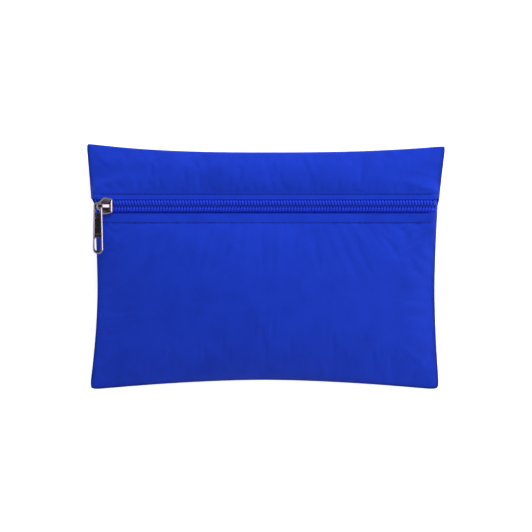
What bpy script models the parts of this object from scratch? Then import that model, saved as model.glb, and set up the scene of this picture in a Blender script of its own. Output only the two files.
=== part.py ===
"""Zipped cash deposit bag: a flat Oxford cloth pouch with a nylon coil zip across its front.

The bag lies on its back. +X runs along the zip towards its open end, +Y runs from the
bottom seam to the top seam, and +Z comes out of the front. The origin is on the surface
that the bag lies on, under the middle of the bag's box. Lengths are written in
millimetres and multiplied by MM.
"""

import math

import bmesh
import bpy
from mathutils import Matrix, Vector

MM = 0.001

# Outline of the sewn bag, seen from the front. The seams pull in between the corners.
TOP_MID_Y = 63.5
TOP_CORNER_RISE = (5.0, 3.6)
BOTTOM_MID_Y = -63.7
BOTTOM_CORNER_DROP = 4.9
WAIST_Y = -12.0
WAIST_X = 94.3
ZIP_END_X = 96.0
FOOT_FLARE = (4.6, 2.8)
FOOT_LENGTH = 57.0
HEAD_STEP = (1.8, 0.9)
HEAD_FLARE = (2.8, 3.7)
HEAD_LENGTH = 31.0
HALF_WIDTH = 96.0

# Heights of the seam line: the corners drop towards the table, the zip's ends stay up.
TAPE_TOP_Z = 18.0
SEAM_BELOW_TAPE = 4.0
BOTTOM_CORNER_Z = 8.0
BOTTOM_MID_Z = 13.0
TOP_CORNER_Z = 11.0
TOP_MID_Z = 13.0
DROP_BELOW_ZIP = 102.0
DROP_ABOVE_ZIP = 35.0

# How far the filling pushes the front panels out. The back lies flat on the table over
# TABLE_U of its half width and between TABLE_S of its height, and turns up all round that.
LOWER_BULGE = 12.5
UPPER_BULGE = 5.0
TABLE_U = 0.64
TABLE_S = (0.13, 0.87)
TURN_UP = 2.2
CLOTH = 0.5
SEAM_ALLOWANCE = 8.0
ALLOWANCE_LIFT = 0.5
ROLL_LOW = 1.15
ROLL_HIGH = 1.8
ROLL_WIDTH = 0.6
MITRE = 0.85
MITRE_START = 2.5

# Zip: tapes, coils, cords and threads, measured from the chain's centre line.
ZIP_Y = 33.5
UPPER_FOLD_Y = 37.1
LOWER_FOLD_Y = 29.1
UPPER_BAND = 4.1
LOWER_BAND = 5.6
STITCH_INSIDE = 0.7
HEM = 8.0
HEM_DROP = 0.8
HEM_START = 4.5
FOLD_Z = TAPE_TOP_Z + 1.35
TAPE = 0.6
TAPE_REACH = 14.5
TAPE_SEWN = 7.5
TAPE_UNDER = 1.5
TAPE_END_X = 93.9
TAPE_SEWN_X = 0.98
TAPE_OUTER_X = 0.92
TAPE_GAP = 0.45
TAPE_SPREAD = 1.75
TAPE_LEVEL_X = (-93.2, -92.0, -90.6, -89.2, -88.0, -80.0, -60.0, 0.0, 60.0, 80.0, 88.0, 93.0)
TAPE_TURN_DOWN = ((0.5, 2.1), (0.0, 0.25))
COIL_PITCH = 1.67
COIL_WIRE = 0.3
COIL_HEAD = -0.45
COIL_BACK = 2.85
COIL_LOW_Z = TAPE_TOP_Z + 0.45
COIL_HIGH_Z = TAPE_TOP_Z + 1.85
COIL_START_X = -91.6
COIL_TURNS = 110
CORD_END_X = 94.6
FILLER = 0.3
FILLER_OUT = 2.1
COIL_THREAD = 0.1
COIL_THREAD_LIFT = 0.12
TOPSTITCH = 0.14
TOPSTITCH_LIFT = (0.3, 0.12)
STITCH = 3.0
STITCH_END_X = 92.4
SEAM_THREAD = 0.1
SEAM_THREAD_INSET = 1.1
SEAM_THREAD_TRIM = 5.0
BINDING = 0.35
BINDING_TRIM = 13.0
BINDING_PROFILE = ((4.8, 1.3), (8.8, 1.3), (9.3, 0.7), (9.3, -0.7), (8.8, -1.3), (4.8, -1.3))

# Slider, with its bridge (bail) cast in one piece, and the pull that hangs from it.
SLIDER_X = -90.4
SLIDER_REAR = 4.6
SLIDER_NOSE = -4.3
SLIDER_MESH = 2.2
TOP_PLATE = ((SLIDER_REAR, 3.9), (0.2, 4.85), (-0.6, 4.6), (-3.0, 2.3), (SLIDER_NOSE, 1.5))
BOTTOM_PLATE = ((4.3, 3.6), (0.2, 4.4), (-0.6, 4.2), (-2.6, 2.2), (-3.2, 1.6))
FLANGE = ((SLIDER_REAR, 3.9), (0.2, 4.85), (-0.4, 4.66), (-0.4, 4.3), (SLIDER_REAR, 3.45))
WEDGE = ((-1.75, 0.15), (-2.6, 0.75), (-3.6, 1.15), (-4.2, 0.8))
BITE = 0.3
CEILING_Z = TAPE_TOP_Z + 2.7
PLATE = 1.1
FLANGE_FOOT_Z = TAPE_TOP_Z + 1.95
FLOOR_TOP_Z = TAPE_TOP_Z - 0.95
FLOOR_PLATE = 0.9
LEG_X = SLIDER_X - 3.65
REAR_LEG_X = SLIDER_X + 2.4
LEG = 1.0
BAIL_HALF_WIDTH = 1.0
BAIL_CLEARANCE = 1.65
BAIL_BEAM = 0.95
PULL_THICKNESS = 0.9
PULL_LENGTH = 28.9
PULL_HEAD = 2.0
PULL_HEAD_HALF = (2.3, 1.6)
PULL_TIP_HALF = 2.8
PULL_EYE = (-1.25, 4.25, 1.45)
PULL_HOLE = (17.4, 25.2, 1.5)
PULL_GRIP = (6.2, 16.3, 1.7)
GRIP_DEPTH = 0.25
CUT = 2.0
PULL_TILT = math.radians(3.0)
PULL_LIFT = 0.4

BLUE = (0.030, 0.058, 0.48)
NAVY = (0.016, 0.030, 0.25)
THREAD_BLUE = (0.022, 0.045, 0.40)
GUNMETAL = (0.045, 0.042, 0.048)


def clear_scene():
    """Start from an empty file."""
    for thing in list(bpy.data.objects):
        bpy.data.objects.remove(thing, do_unlink=True)


def material(name, colour, roughness, metallic=0.0):
    """One Principled material."""
    made = bpy.data.materials.new(name)
    made.use_nodes = True
    shader = made.node_tree.nodes["Principled BSDF"]
    shader.inputs["Base Color"].default_value = (*colour, 1.0)
    shader.inputs["Roughness"].default_value = roughness
    shader.inputs["Metallic"].default_value = metallic
    made.diffuse_color = (*colour, 1.0)
    return made


def lerp(a, b, t):
    """The value t of the way from a to b."""
    return a + (b - a) * t


# ---------------------------------------------------------------- outline and heights

def top_y(u):
    """Y of the top seam; u runs from -1 at the left corner to 1 at the right one."""
    return TOP_MID_Y + TOP_CORNER_RISE[u > 0] * abs(u) ** 2.6


def bottom_y(u):
    """Y of the bottom seam."""
    return BOTTOM_MID_Y - BOTTOM_CORNER_DROP * abs(u) ** 1.7


def side_x(y, right):
    """X of a side seam at height y: in at the waist, a step out above the zip."""
    if y < WAIST_Y:
        reach = WAIST_X + FOOT_FLARE[right] * ((WAIST_Y - y) / FOOT_LENGTH) ** 1.8
    elif y < ZIP_Y:
        reach = lerp(WAIST_X, ZIP_END_X, ((y - WAIST_Y) / (ZIP_Y - WAIST_Y)) ** 1.6)
    else:
        step = HEAD_STEP[right] * min(1.0, (y - ZIP_Y) / (UPPER_FOLD_Y - ZIP_Y))
        flare = HEAD_FLARE[right] * max(0.0, (y - UPPER_FOLD_Y) / HEAD_LENGTH) ** 1.15
        reach = ZIP_END_X + step + flare
    return reach if right else -reach


def side_z(y):
    """Height of the side seams: highest at the zip, lowest at the corners."""
    peak = TAPE_TOP_Z - SEAM_BELOW_TAPE
    if y < ZIP_Y:
        return lerp(peak, BOTTOM_CORNER_Z, min(1.0, (ZIP_Y - y) / DROP_BELOW_ZIP) ** 2.2)
    return lerp(peak, TOP_CORNER_Z, min(1.0, (y - ZIP_Y) / DROP_ABOVE_ZIP) ** 1.8)


def bottom_z(u):
    """Height of the bottom seam."""
    return lerp(BOTTOM_MID_Z, BOTTOM_CORNER_Z, abs(u) ** 2.2)


def top_z(u):
    """Height of the top seam."""
    return lerp(TOP_MID_Z, TOP_CORNER_Z, abs(u) ** 2.2)


def roll(inset):
    """Height of the cloth over the seam line, where it turns round the seam's edge."""
    return lerp(ROLL_LOW, ROLL_HIGH, min(1.0, inset / ROLL_WIDTH))


def across_bulge(u):
    """Fullness across the bag, 0 at the side seams and 1 in the middle."""
    return max(0.0, 1.0 - abs(u) ** 2.2) ** 0.9


def turn_up(distance, reach):
    """Rise of the back from the table's edge (0) to the seam (1)."""
    return min(1.0, max(0.0, distance) / reach) ** TURN_UP


class Panel:
    """One panel of the bag, from the low edge (s = 0) to the high edge (s = 1)."""

    def __init__(self, low_y, high_y, side, bulge=0.0, zip_edge=None, band=0.0):
        self.low_y = low_y
        self.high_y = high_y
        self.side = side
        self.bulge = bulge
        self.zip_edge = zip_edge
        self.band = band / (high_y(0.0) - low_y(0.0))

    def edge_y(self, s):
        """Y along the panel's side seams."""
        return lerp(self.low_y(1.0), self.high_y(1.0), s)

    def flat(self, u, s):
        """The point's place in plan."""
        y = self.edge_y(s)
        x = lerp(side_x(y, False), side_x(y, True), (u + 1.0) / 2.0)
        return x, lerp(self.low_y(u), self.high_y(u), s)

    def free(self, s):
        """s counted on the loose cloth only: the sewn band along the zip stays level."""
        if self.zip_edge == "high":
            return min(1.0, s / (1.0 - self.band))
        return max(0.0, (s - self.band) / (1.0 - self.band))

    def seam(self, u, s):
        """Height of the surface spanned by the seams round the panel."""
        s = self.free(s)
        fold = FOLD_Z - ROLL_HIGH
        low = fold if self.zip_edge == "low" else bottom_z(u)
        high = fold if self.zip_edge == "high" else top_z(u)
        low_end = fold if self.zip_edge == "low" else BOTTOM_CORNER_Z
        high_end = fold if self.zip_edge == "high" else TOP_CORNER_Z
        dip = side_z(self.edge_y(s)) - lerp(low_end, high_end, s)
        near_zip = {"high": s, "low": 1.0 - s}.get(self.zip_edge, 0.0)
        spread = abs(u) ** (3.0 + 117.0 * near_zip ** 8) if self.zip_edge else 1.0
        return lerp(low, high, s) + dip * spread

    def along_bulge(self, s):
        """Fullness from the low to the high edge, 1 at its highest."""
        s = self.free(s)
        if self.zip_edge == "high":
            return 2.52 * s ** 0.62 * (1.0 - s) ** 0.72
        return 2.74 * s ** 0.9 * (1.0 - s) ** 0.6

    def point(self, u, s, inset):
        """A point of the panel's middle surface."""
        x, y = self.flat(u, s)
        z = self.seam(u, s) + self.side * roll(inset)
        if self.zip_edge:
            return x, y, z + self.bulge * across_bulge(u) * self.along_bulge(s)
        across = 1.0 - turn_up(abs(u) - TABLE_U, 1.0 - TABLE_U)
        low, high = TABLE_S
        along = 1.0 - turn_up(low - s, low) - turn_up(s - high, 1.0 - high)
        return x, y, lerp(z, CLOTH / 2.0, across * along)

    def allowance(self, u, s, seam_z):
        """A point of the turned-in seam allowance, just above or below the seam's height."""
        x, y = self.flat(u, s)
        return x, y, seam_z + self.side * ALLOWANCE_LIFT


EDGE_STEPS = (0.0, 0.6, 1.5, 2.6, 4.5, 8.0, 13.0, 20.0, 30.0, 43.0, 58.0, 76.0)
LOWER_ROWS = (0.0, 0.6, 1.8, 4.0, 8.0, 14.0, 22.0, 32.0, 44.0, 56.0, 68.0, 77.0, 84.0)
UPPER_ROWS = (0.0, 0.6, 1.8, 4.0, 8.0, 13.0, 18.0, 22.5)
BACK_ROWS = (0.0, 0.6, 1.8, 4.0, 8.0, 14.0, 22.0, 32.0, 46.0, 62.0, 78.0)


def columns():
    """u of every column, and its distance from the nearer side seam."""
    left = [(-1.0 + d / HALF_WIDTH, d) for d in EDGE_STEPS]
    return left + [(0.0, HALF_WIDTH)] + [(-u, d) for u, d in reversed(left)]


def link(thing, collection, finish=None):
    """Put an object in its collection and give it its material."""
    collection.objects.link(thing)
    if finish:
        thing.data.materials.clear()
        thing.data.materials.append(finish)
    return thing


def solid_sheet(name, points, faces, thickness, collection, finish):
    """Cloth: an open surface made solid by Solidify."""
    mesh = bpy.data.meshes.new(name)
    mesh.from_pydata([Vector(p) * MM for p in points], [], faces)
    mesh.shade_smooth()
    cloth = link(bpy.data.objects.new(name, mesh), collection, finish)
    shell = cloth.modifiers.new("cloth", "SOLIDIFY")
    shell.thickness = thickness * MM
    shell.offset = 0.0
    return cloth


def quads(grid, flip):
    """Indices and faces of a grid of points, where None marks a missing point."""
    points, index = [], {}
    for j, row in enumerate(grid):
        for i, point in enumerate(row):
            if point is not None:
                index[i, j] = len(points)
                points.append(point)
    faces = []
    for i, j in sorted(index):
        corners = [(i, j), (i + 1, j), (i + 1, j + 1), (i, j + 1)]
        if all(corner in index for corner in corners):
            face = [index[corner] for corner in corners]
            faces.append(face[::-1] if flip else face)
    return points, faces


def allowance_row(panel, s_edge, toward, depth):
    """One row of the allowance along the top or bottom seam."""
    row = [None, None]
    span = (panel.high_y(0.0) - panel.low_y(0.0))
    for u, inset in columns():
        reach = min(depth, MITRE * inset)
        seam_z = bottom_z(u) if s_edge == 0.0 else top_z(u)
        place = panel.allowance(u, s_edge + toward * reach / span, seam_z)
        row.append(place if inset >= MITRE_START else None)
    return row + [None, None]


def hem_rows(panel, fold_y, depths):
    """Rows of the hem, folded under the panel's edge along the zip."""
    away = 1.0 if panel.zip_edge == "low" else -1.0
    edge = 0.0 if panel.zip_edge == "low" else 1.0
    span = panel.high_y(0.0) - panel.low_y(0.0)
    rows = []
    for depth in depths:
        row = []
        for u, inset in columns():
            x, y, z = panel.point(u, edge + away * depth / span, inset)
            hem = (x, fold_y + away * depth, z - HEM_DROP)
            row.append(hem if inset >= HEM_START else None)
        rows.append([None, None] + row + [None, None])
    return rows


def panel_grid(panel, rows):
    """Rows of points with the allowances at both sides; rows are (s, distance to a seam)."""
    grid = []
    for s, inset_y in rows:
        inner = [panel.point(u, s, min(d, inset_y)) for u, d in columns()]
        left, right = [], []
        for depth in (SEAM_ALLOWANCE, ROLL_WIDTH):
            reach = min(depth, MITRE * inset_y) / HALF_WIDTH
            fits = inset_y >= MITRE_START
            seam_z = side_z(panel.edge_y(s))
            left.append(panel.allowance(-1.0 + reach, s, seam_z) if fits else None)
            right.append(panel.allowance(1.0 - reach, s, seam_z) if fits else None)
        grid.append(left + inner + right[::-1])
    return grid


LOWER = Panel(bottom_y, lambda u: LOWER_FOLD_Y, 1, LOWER_BULGE, "high", LOWER_BAND)
UPPER = Panel(lambda u: UPPER_FOLD_Y, top_y, 1, UPPER_BULGE, "low", UPPER_BAND)
BACK = Panel(bottom_y, top_y, -1)


def front_lower_panel(collection, finish):
    """The large front panel, from the bottom seam to the fold under the zip."""
    span = LOWER_FOLD_Y - BOTTOM_MID_Y
    distances = list(LOWER_ROWS) + [span - LOWER_BAND, span - LOWER_BAND / 2.0, span]
    rows = [(d / span, d) for d in distances]
    grid = [allowance_row(LOWER, 0.0, 1.0, depth) for depth in (SEAM_ALLOWANCE, ROLL_WIDTH)]
    grid += panel_grid(LOWER, rows)
    grid += hem_rows(LOWER, LOWER_FOLD_Y, (0.0, LOWER_BAND, HEM))
    points, faces = quads(grid, False)
    return solid_sheet("front_lower_panel", points, faces, CLOTH, collection, finish)


def front_upper_panel(collection, finish):
    """The narrow front panel between the zip and the top seam."""
    span = TOP_MID_Y - UPPER_FOLD_Y
    distances = list(UPPER_ROWS) + [span - UPPER_BAND / 2.0, span]
    rows = [(1.0 - d / span, d) for d in reversed(distances)]
    grid = hem_rows(UPPER, UPPER_FOLD_Y, (HEM, UPPER_BAND, 0.0))
    grid += panel_grid(UPPER, rows)
    grid += [allowance_row(UPPER, 1.0, -1.0, depth) for depth in (ROLL_WIDTH, SEAM_ALLOWANCE)]
    points, faces = quads(grid, False)
    return solid_sheet("front_upper_panel", points, faces, CLOTH, collection, finish)


def back_panel(collection, finish):
    """The back, one piece of cloth, flat where it lies on the table."""
    span = TOP_MID_Y - BOTTOM_MID_Y
    at_zip = [TOP_MID_Y - y for y in (UPPER_FOLD_Y, ZIP_Y, LOWER_FOLD_Y)]
    rows = [(d / span, d) for d in BACK_ROWS]
    rows += [(1.0 - d / span, d) for d in at_zip[::-1]]
    rows += [(1.0 - d / span, d) for d in reversed(BACK_ROWS[:7])]
    grid = [allowance_row(BACK, 0.0, 1.0, depth) for depth in (SEAM_ALLOWANCE, ROLL_WIDTH)]
    grid += panel_grid(BACK, rows)
    grid += [allowance_row(BACK, 1.0, -1.0, depth) for depth in (ROLL_WIDTH, SEAM_ALLOWANCE)]
    points, faces = quads(grid, True)
    return solid_sheet("back_panel", points, faces, CLOTH, collection, finish)


# ---------------------------------------------------------------- threads, cords, bindings

def wire(name, points, radius, collection, finish, resolution=0):
    """A thread, cord or wire: a poly curve with a round section and closed ends."""
    curve = bpy.data.curves.new(name, "CURVE")
    curve.dimensions = "3D"
    curve.bevel_depth = radius * MM
    curve.bevel_resolution = resolution
    curve.use_fill_caps = True
    line = curve.splines.new("POLY")
    line.points.add(len(points) - 1)
    for place, point in zip(line.points, points):
        place.co = (*(Vector(point) * MM), 1.0)
    return link(bpy.data.objects.new(name, curve), collection, finish)


def spread(x):
    """How far the slider's wedge holds each tape from the centre line."""
    nose = SLIDER_X + SLIDER_NOSE
    closed = SLIDER_X + SLIDER_MESH
    return TAPE_SPREAD * min(1.0, max(0.0, (closed - x) / (closed - nose))) ** 1.3


def zip_half(side, collection, finishes):
    """One half of the chain: tape, coil, filler cord, the coil's stitching, topstitch."""
    prefix = "upper" if side > 0 else "lower"
    tape(prefix, side, collection, finishes["tape"])
    turn = []
    for step in range(COIL_TURNS * 4):
        corner = step % 4
        phase = step / 4.0 + (0.0 if side > 0 else 0.5)
        x = COIL_START_X + COIL_PITCH * phase
        out = COIL_HEAD if corner in (1, 2) else COIL_BACK
        z = COIL_HIGH_Z if corner in (0, 1) else COIL_LOW_Z
        turn.append((x, ZIP_Y + side * out, z))
    wire(prefix + "_coil", turn, COIL_WIRE, collection, finishes["coil"])

    inside_z = (COIL_LOW_Z + COIL_HIGH_Z) / 2.0
    over_z = COIL_HIGH_Z + COIL_WIRE + COIL_THREAD + COIL_THREAD_LIFT
    filler = [(x, ZIP_Y + side * FILLER_OUT, inside_z) for x in (-CORD_END_X, CORD_END_X)]
    wire(prefix + "_filler_cord", filler, FILLER, collection, finishes["thread"], 1)
    sewn = [(x, ZIP_Y + side * FILLER_OUT, over_z) for x in (-CORD_END_X, CORD_END_X)]
    wire(prefix + "_coil_stitching", sewn, COIL_THREAD, collection, finishes["thread"])


def topstitch(name, panel, y, collection, finish):
    """The visible row of stitches that holds a folded edge to its tape."""
    points = []
    low, high = panel.low_y(0.0), panel.high_y(0.0)
    count = int(2.0 * STITCH_END_X / STITCH)
    for step in range(2 * count + 1):
        x = -STITCH_END_X + STITCH * step / 2.0
        u = x / HALF_WIDTH
        s = (y - low) / (high - low)
        z = panel.point(u, s, HALF_WIDTH)[2] + CLOTH / 2.0 + TOPSTITCH
        points.append((x, y, z + TOPSTITCH_LIFT[step % 2]))
    wire(name, points, TOPSTITCH, collection, finish)


def tape(prefix, side, collection, finish):
    """A zip tape: flat under the coil and the fold, turned down at the side seams."""
    rows = []
    panel = UPPER if side > 0 else LOWER
    sewn, outer = ZIP_Y + side * TAPE_SEWN, ZIP_Y + side * TAPE_REACH
    s = (outer - panel.low_y(0.0)) / (panel.high_y(0.0) - panel.low_y(0.0))
    ends = [(-TAPE_END_X - past, -drop) for past, drop in TAPE_TURN_DOWN]
    far = [(-x, drop) for x, drop in reversed(ends)]
    for x, drop in ends + [(x, 0.0) for x in TAPE_LEVEL_X] + far:
        inner = ZIP_Y + side * (TAPE_GAP + spread(x))
        z = TAPE_TOP_Z - TAPE / 2.0
        sewn_x, outer_x = x * TAPE_SEWN_X, x * TAPE_OUTER_X
        outer_z = min(z, panel.point(outer_x / HALF_WIDTH, s, HALF_WIDTH)[2] - TAPE_UNDER)
        rows.append([(x, inner, z + drop), (sewn_x, sewn, z + drop), (outer_x, outer, outer_z)])
    points, faces = quads(rows, side > 0)
    solid_sheet(prefix + "_tape", points, faces, TAPE, collection, finish)


def seam_line(side, inset, trim):
    """Points along one side of the seam, inset from its edge."""
    places = []
    if side in ("bottom", "top"):
        for u, distance in columns():
            if distance < trim:
                continue
            y = bottom_y(u) + inset if side == "bottom" else top_y(u) - inset
            s = (y - bottom_y(u)) / (top_y(u) - bottom_y(u))
            z = bottom_z(u) if side == "bottom" else top_z(u)
            places.append((BACK.flat(u, s)[0], y, z))
        return places
    right = side == "right"
    low, high = bottom_y(1.0) + trim, top_y(1.0) - trim
    stations = [lerp(low, LOWER_FOLD_Y, step / 7.0) for step in range(8)]
    stations += [ZIP_Y] + [lerp(UPPER_FOLD_Y, high, step / 3.0) for step in range(4)]
    for y in stations:
        x = side_x(y, right) + (-inset if right else inset)
        places.append((x, y, side_z(y)))
    return places


def seam_thread(side, collection, finish):
    """The line of stitches inside one seam."""
    line = seam_line(side, SEAM_THREAD_INSET, SEAM_THREAD_TRIM)
    wire(side + "_seam_stitching", line, SEAM_THREAD, collection, finish)


def seam_binding(side, collection, finish):
    """Woven tape folded over the raw edges of both allowances inside the bag."""
    rows = []
    for inset, lift in BINDING_PROFILE:
        line = seam_line(side, inset, BINDING_TRIM)
        rows.append([(x, y, z + lift) for x, y, z in line])
    flip = side in ("right", "bottom")
    points, faces = quads(rows, not flip)
    solid_sheet(side + "_seam_binding", points, faces, BINDING, collection, finish)


# ---------------------------------------------------------------- slider and pull

def prism(name, outline, z_low, z_high, collection, finish=None):
    """A plate with a given outline, as a mesh."""
    curve = bpy.data.curves.new(name, "CURVE")
    curve.dimensions = "2D"
    curve.fill_mode = "BOTH"
    curve.extrude = (z_high - z_low) / 2.0 * MM
    line = curve.splines.new("POLY")
    line.points.add(len(outline) - 1)
    for place, (x, y) in zip(line.points, outline):
        place.co = (x * MM, y * MM, 0.0, 1.0)
    line.use_cyclic_u = True
    flat = bpy.data.objects.new(name, curve)
    collection.objects.link(flat)
    bpy.context.view_layer.update()
    mesh = bpy.data.meshes.new_from_object(flat.evaluated_get(
        bpy.context.evaluated_depsgraph_get()))
    bpy.data.objects.remove(flat, do_unlink=True)
    bpy.data.curves.remove(curve)
    plate = bpy.data.objects.new(name, mesh)
    link(plate, collection, finish)
    weld(mesh)
    plate.location.z = (z_low + z_high) / 2.0 * MM
    return plate


def weld(mesh):
    """Join a converted curve's loose caps to its walls, with the faces pointing out."""
    work = bmesh.new()
    work.from_mesh(mesh)
    bmesh.ops.remove_doubles(work, verts=work.verts, dist=1e-6)
    bmesh.ops.recalc_face_normals(work, faces=work.faces)
    work.to_mesh(mesh)
    work.free()


def join_by(operation, body, tool):
    """A Boolean of two objects that stays on the first as a modifier."""
    cut = body.modifiers.new(tool.name, "BOOLEAN")
    cut.operation = operation
    cut.solver = "EXACT"
    cut.object = tool


def mirrored(half):
    """The outline of a plate from the half of it at positive y."""
    return list(half) + [(x, -y) for x, y in reversed(half)]


def on_zip(outline):
    """An outline moved from the slider's own centre to its place on the zip."""
    return [(x + SLIDER_X, y + ZIP_Y) for x, y in outline]


def bail_block(first_x, last_x):
    """The outline of a part of the bridge, from one leg's centre to another's."""
    low, high = first_x - LEG / 2.0, last_x + LEG / 2.0
    near, far = ZIP_Y - BAIL_HALF_WIDTH, ZIP_Y + BAIL_HALF_WIDTH
    return [(high, far), (low, far), (low, near), (high, near)]


def slider_body(parts, cutters, finish):
    """Two plates joined by the wedge between the coils, flanges, and the bridge on top."""
    roof_z = CEILING_Z + PLATE
    beam_z = roof_z + BAIL_CLEARANCE
    low_flange = [(x, -y) for x, y in FLANGE]
    body = prism("slider_body", on_zip(mirrored(TOP_PLATE)), CEILING_Z, roof_z, parts, finish)
    extras = [
        ("floor", on_zip(mirrored(BOTTOM_PLATE)), FLOOR_TOP_Z - FLOOR_PLATE, FLOOR_TOP_Z),
        ("wedge", on_zip(mirrored(WEDGE)), FLOOR_TOP_Z - BITE, CEILING_Z + BITE),
        ("flange_upper", on_zip(FLANGE), FLANGE_FOOT_Z, CEILING_Z + BITE),
        ("flange_lower", on_zip(low_flange), FLANGE_FOOT_Z, CEILING_Z + BITE),
        ("leg_front", bail_block(LEG_X, LEG_X), roof_z - BITE, beam_z + BITE),
        ("leg_rear", bail_block(REAR_LEG_X, REAR_LEG_X), roof_z - BITE, beam_z + BITE),
        ("beam", bail_block(LEG_X, REAR_LEG_X), beam_z, beam_z + BAIL_BEAM),
    ]
    for name, outline, z_low, z_high in extras:
        piece = prism("slider_" + name, outline, z_low, z_high, cutters)
        piece.hide_render = True
        piece.display_type = "WIRE"
        join_by("UNION", body, piece)
    return body


def round_ended(length_from, length_to, half_width, steps=6):
    """A slot's outline along -y, with round ends."""
    points = []
    for centre, start in ((-length_from - half_width, 0.0), (-length_to + half_width, math.pi)):
        for step in range(steps + 1):
            angle = start + math.pi * step / steps
            points.append((half_width * math.cos(angle), centre + half_width * math.sin(angle)))
    return points


def pull_outline(steps=8):
    """The pull, wider towards its round free end, hanging along -y from its pivot."""
    tip, head = PULL_HEAD - PULL_LENGTH + PULL_TIP_HALF, PULL_HEAD - PULL_HEAD_HALF[1]
    points = []
    for step in range(steps + 1):
        angle = math.pi + math.pi * step / steps
        points.append((PULL_TIP_HALF * math.cos(angle), tip + PULL_TIP_HALF * math.sin(angle)))
    for step in range(steps - 1):
        angle = math.pi * step / (steps - 2)
        points.append((PULL_HEAD_HALF[0] * math.cos(angle), head + PULL_HEAD_HALF[1] * math.sin(angle)))
    return points


def pull_tab(parts, cutters, finish):
    """The pull: an eye round the bridge's front leg, a recessed grip and a long hole."""
    half = PULL_THICKNESS / 2.0
    pull = prism("pull_tab", pull_outline(), -half, half, parts, finish)
    holes = {"eye": (round_ended(*PULL_EYE), -CUT, CUT),
             "long_hole": (round_ended(*PULL_HOLE), -CUT, CUT),
             "grip_front": (round_ended(*PULL_GRIP), half - GRIP_DEPTH, CUT),
             "grip_back": (round_ended(*PULL_GRIP), -CUT, GRIP_DEPTH - half)}
    for name, (outline, z_low, z_high) in holes.items():
        tool = prism("pull_" + name, outline, z_low, z_high, cutters)
        tool.hide_render = True
        tool.display_type = "WIRE"
        tool.parent = pull
        join_by("DIFFERENCE", pull, tool)
    height = CEILING_Z + PLATE + PULL_LIFT + half
    place = Vector((LEG_X, ZIP_Y, height)) * MM
    pull.matrix_world = Matrix.Translation(place) @ Matrix.Rotation(PULL_TILT, 4, "X")
    return pull


def build():
    """Make the whole bag."""
    clear_scene()
    scene = bpy.context.scene
    parts = bpy.data.collections.new("cash_deposit_bag")
    cutters = bpy.data.collections.new("cutters")
    scene.collection.children.link(parts)
    scene.collection.children.link(cutters)
    cloth = material("oxford_cloth", BLUE, 0.75)
    tape_cloth = material("zip_tape", NAVY, 0.8)
    binding_cloth = material("binding", NAVY, 0.8)
    nylon = material("coil_nylon", BLUE, 0.4)
    thread = material("sewing_thread", THREAD_BLUE, 0.6)
    metal = material("gunmetal", GUNMETAL, 0.25, 0.9)

    back_panel(parts, cloth)
    front_lower_panel(parts, cloth)
    front_upper_panel(parts, cloth)
    for side in (1, -1):
        zip_half(side, parts, {"tape": tape_cloth, "coil": nylon, "thread": thread})
    upper_line, lower_line = UPPER_BAND - STITCH_INSIDE, LOWER_BAND - STITCH_INSIDE
    topstitch("upper_topstitch", UPPER, UPPER_FOLD_Y + upper_line, parts, thread)
    topstitch("lower_topstitch", LOWER, LOWER_FOLD_Y - lower_line, parts, thread)
    for side in ("left", "right", "bottom", "top"):
        seam_thread(side, parts, thread)
        seam_binding(side, parts, binding_cloth)
    slider_body(parts, cutters, metal)
    pull_tab(parts, cutters, metal)


build()
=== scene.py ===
"""Looks of the zipped cash deposit bag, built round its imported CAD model.

The bag lies on its back in the row frame: +X runs along the zip towards its open end, +Y
from the bottom seam to the top seam, +Z out of the front. Lengths are in millimetres until
a mesh is made. The outlines are the CAD model's, with softer corners and flatter fronts.
"""

import math

import bmesh
import bpy
import numpy as np
from mathutils import Matrix, Vector


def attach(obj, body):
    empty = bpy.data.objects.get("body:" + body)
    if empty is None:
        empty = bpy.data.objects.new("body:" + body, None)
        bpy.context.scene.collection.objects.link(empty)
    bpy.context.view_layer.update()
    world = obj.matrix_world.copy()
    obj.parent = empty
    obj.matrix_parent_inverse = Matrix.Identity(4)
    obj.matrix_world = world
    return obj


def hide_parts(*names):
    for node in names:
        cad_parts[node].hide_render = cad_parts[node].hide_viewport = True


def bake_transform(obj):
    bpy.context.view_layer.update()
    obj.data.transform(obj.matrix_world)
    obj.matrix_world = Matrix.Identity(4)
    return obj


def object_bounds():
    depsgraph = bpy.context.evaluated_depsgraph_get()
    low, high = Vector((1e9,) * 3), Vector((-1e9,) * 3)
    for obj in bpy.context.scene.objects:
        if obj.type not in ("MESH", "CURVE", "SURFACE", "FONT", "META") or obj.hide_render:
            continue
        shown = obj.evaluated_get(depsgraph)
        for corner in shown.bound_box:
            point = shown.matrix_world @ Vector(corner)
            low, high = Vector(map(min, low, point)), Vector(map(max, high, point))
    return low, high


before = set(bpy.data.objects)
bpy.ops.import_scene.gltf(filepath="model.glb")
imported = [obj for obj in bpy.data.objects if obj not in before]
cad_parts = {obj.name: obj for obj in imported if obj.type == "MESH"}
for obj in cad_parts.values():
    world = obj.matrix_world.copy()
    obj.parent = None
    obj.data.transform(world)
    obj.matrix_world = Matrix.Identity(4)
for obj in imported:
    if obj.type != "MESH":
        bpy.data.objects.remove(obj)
cad_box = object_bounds()

MM = 0.001

# Outline of the sewn bag. Pairs are for the left and the right.
TOP_MID_Y = 63.5
TOP_CORNER_RISE = (5.0, 3.6)
BOTTOM_MID_Y = -63.7
BOTTOM_CORNER_DROP = 5.7
WAIST_Y = -12.0
WAIST_X = 94.3
ZIP_END_X = 96.0
FOOT_FLARE = (4.6, 2.8)
FOOT_LENGTH = 57.0
HEAD_STEP = (1.8, 0.9)
HEAD_FLARE = (2.8, 3.7)
HEAD_LENGTH = 31.0
HALF_WIDTH = 96.0
CORNER_ROUND = {"low": (1.1, 2.0), "high": (0.5, 1.2)}

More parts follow.
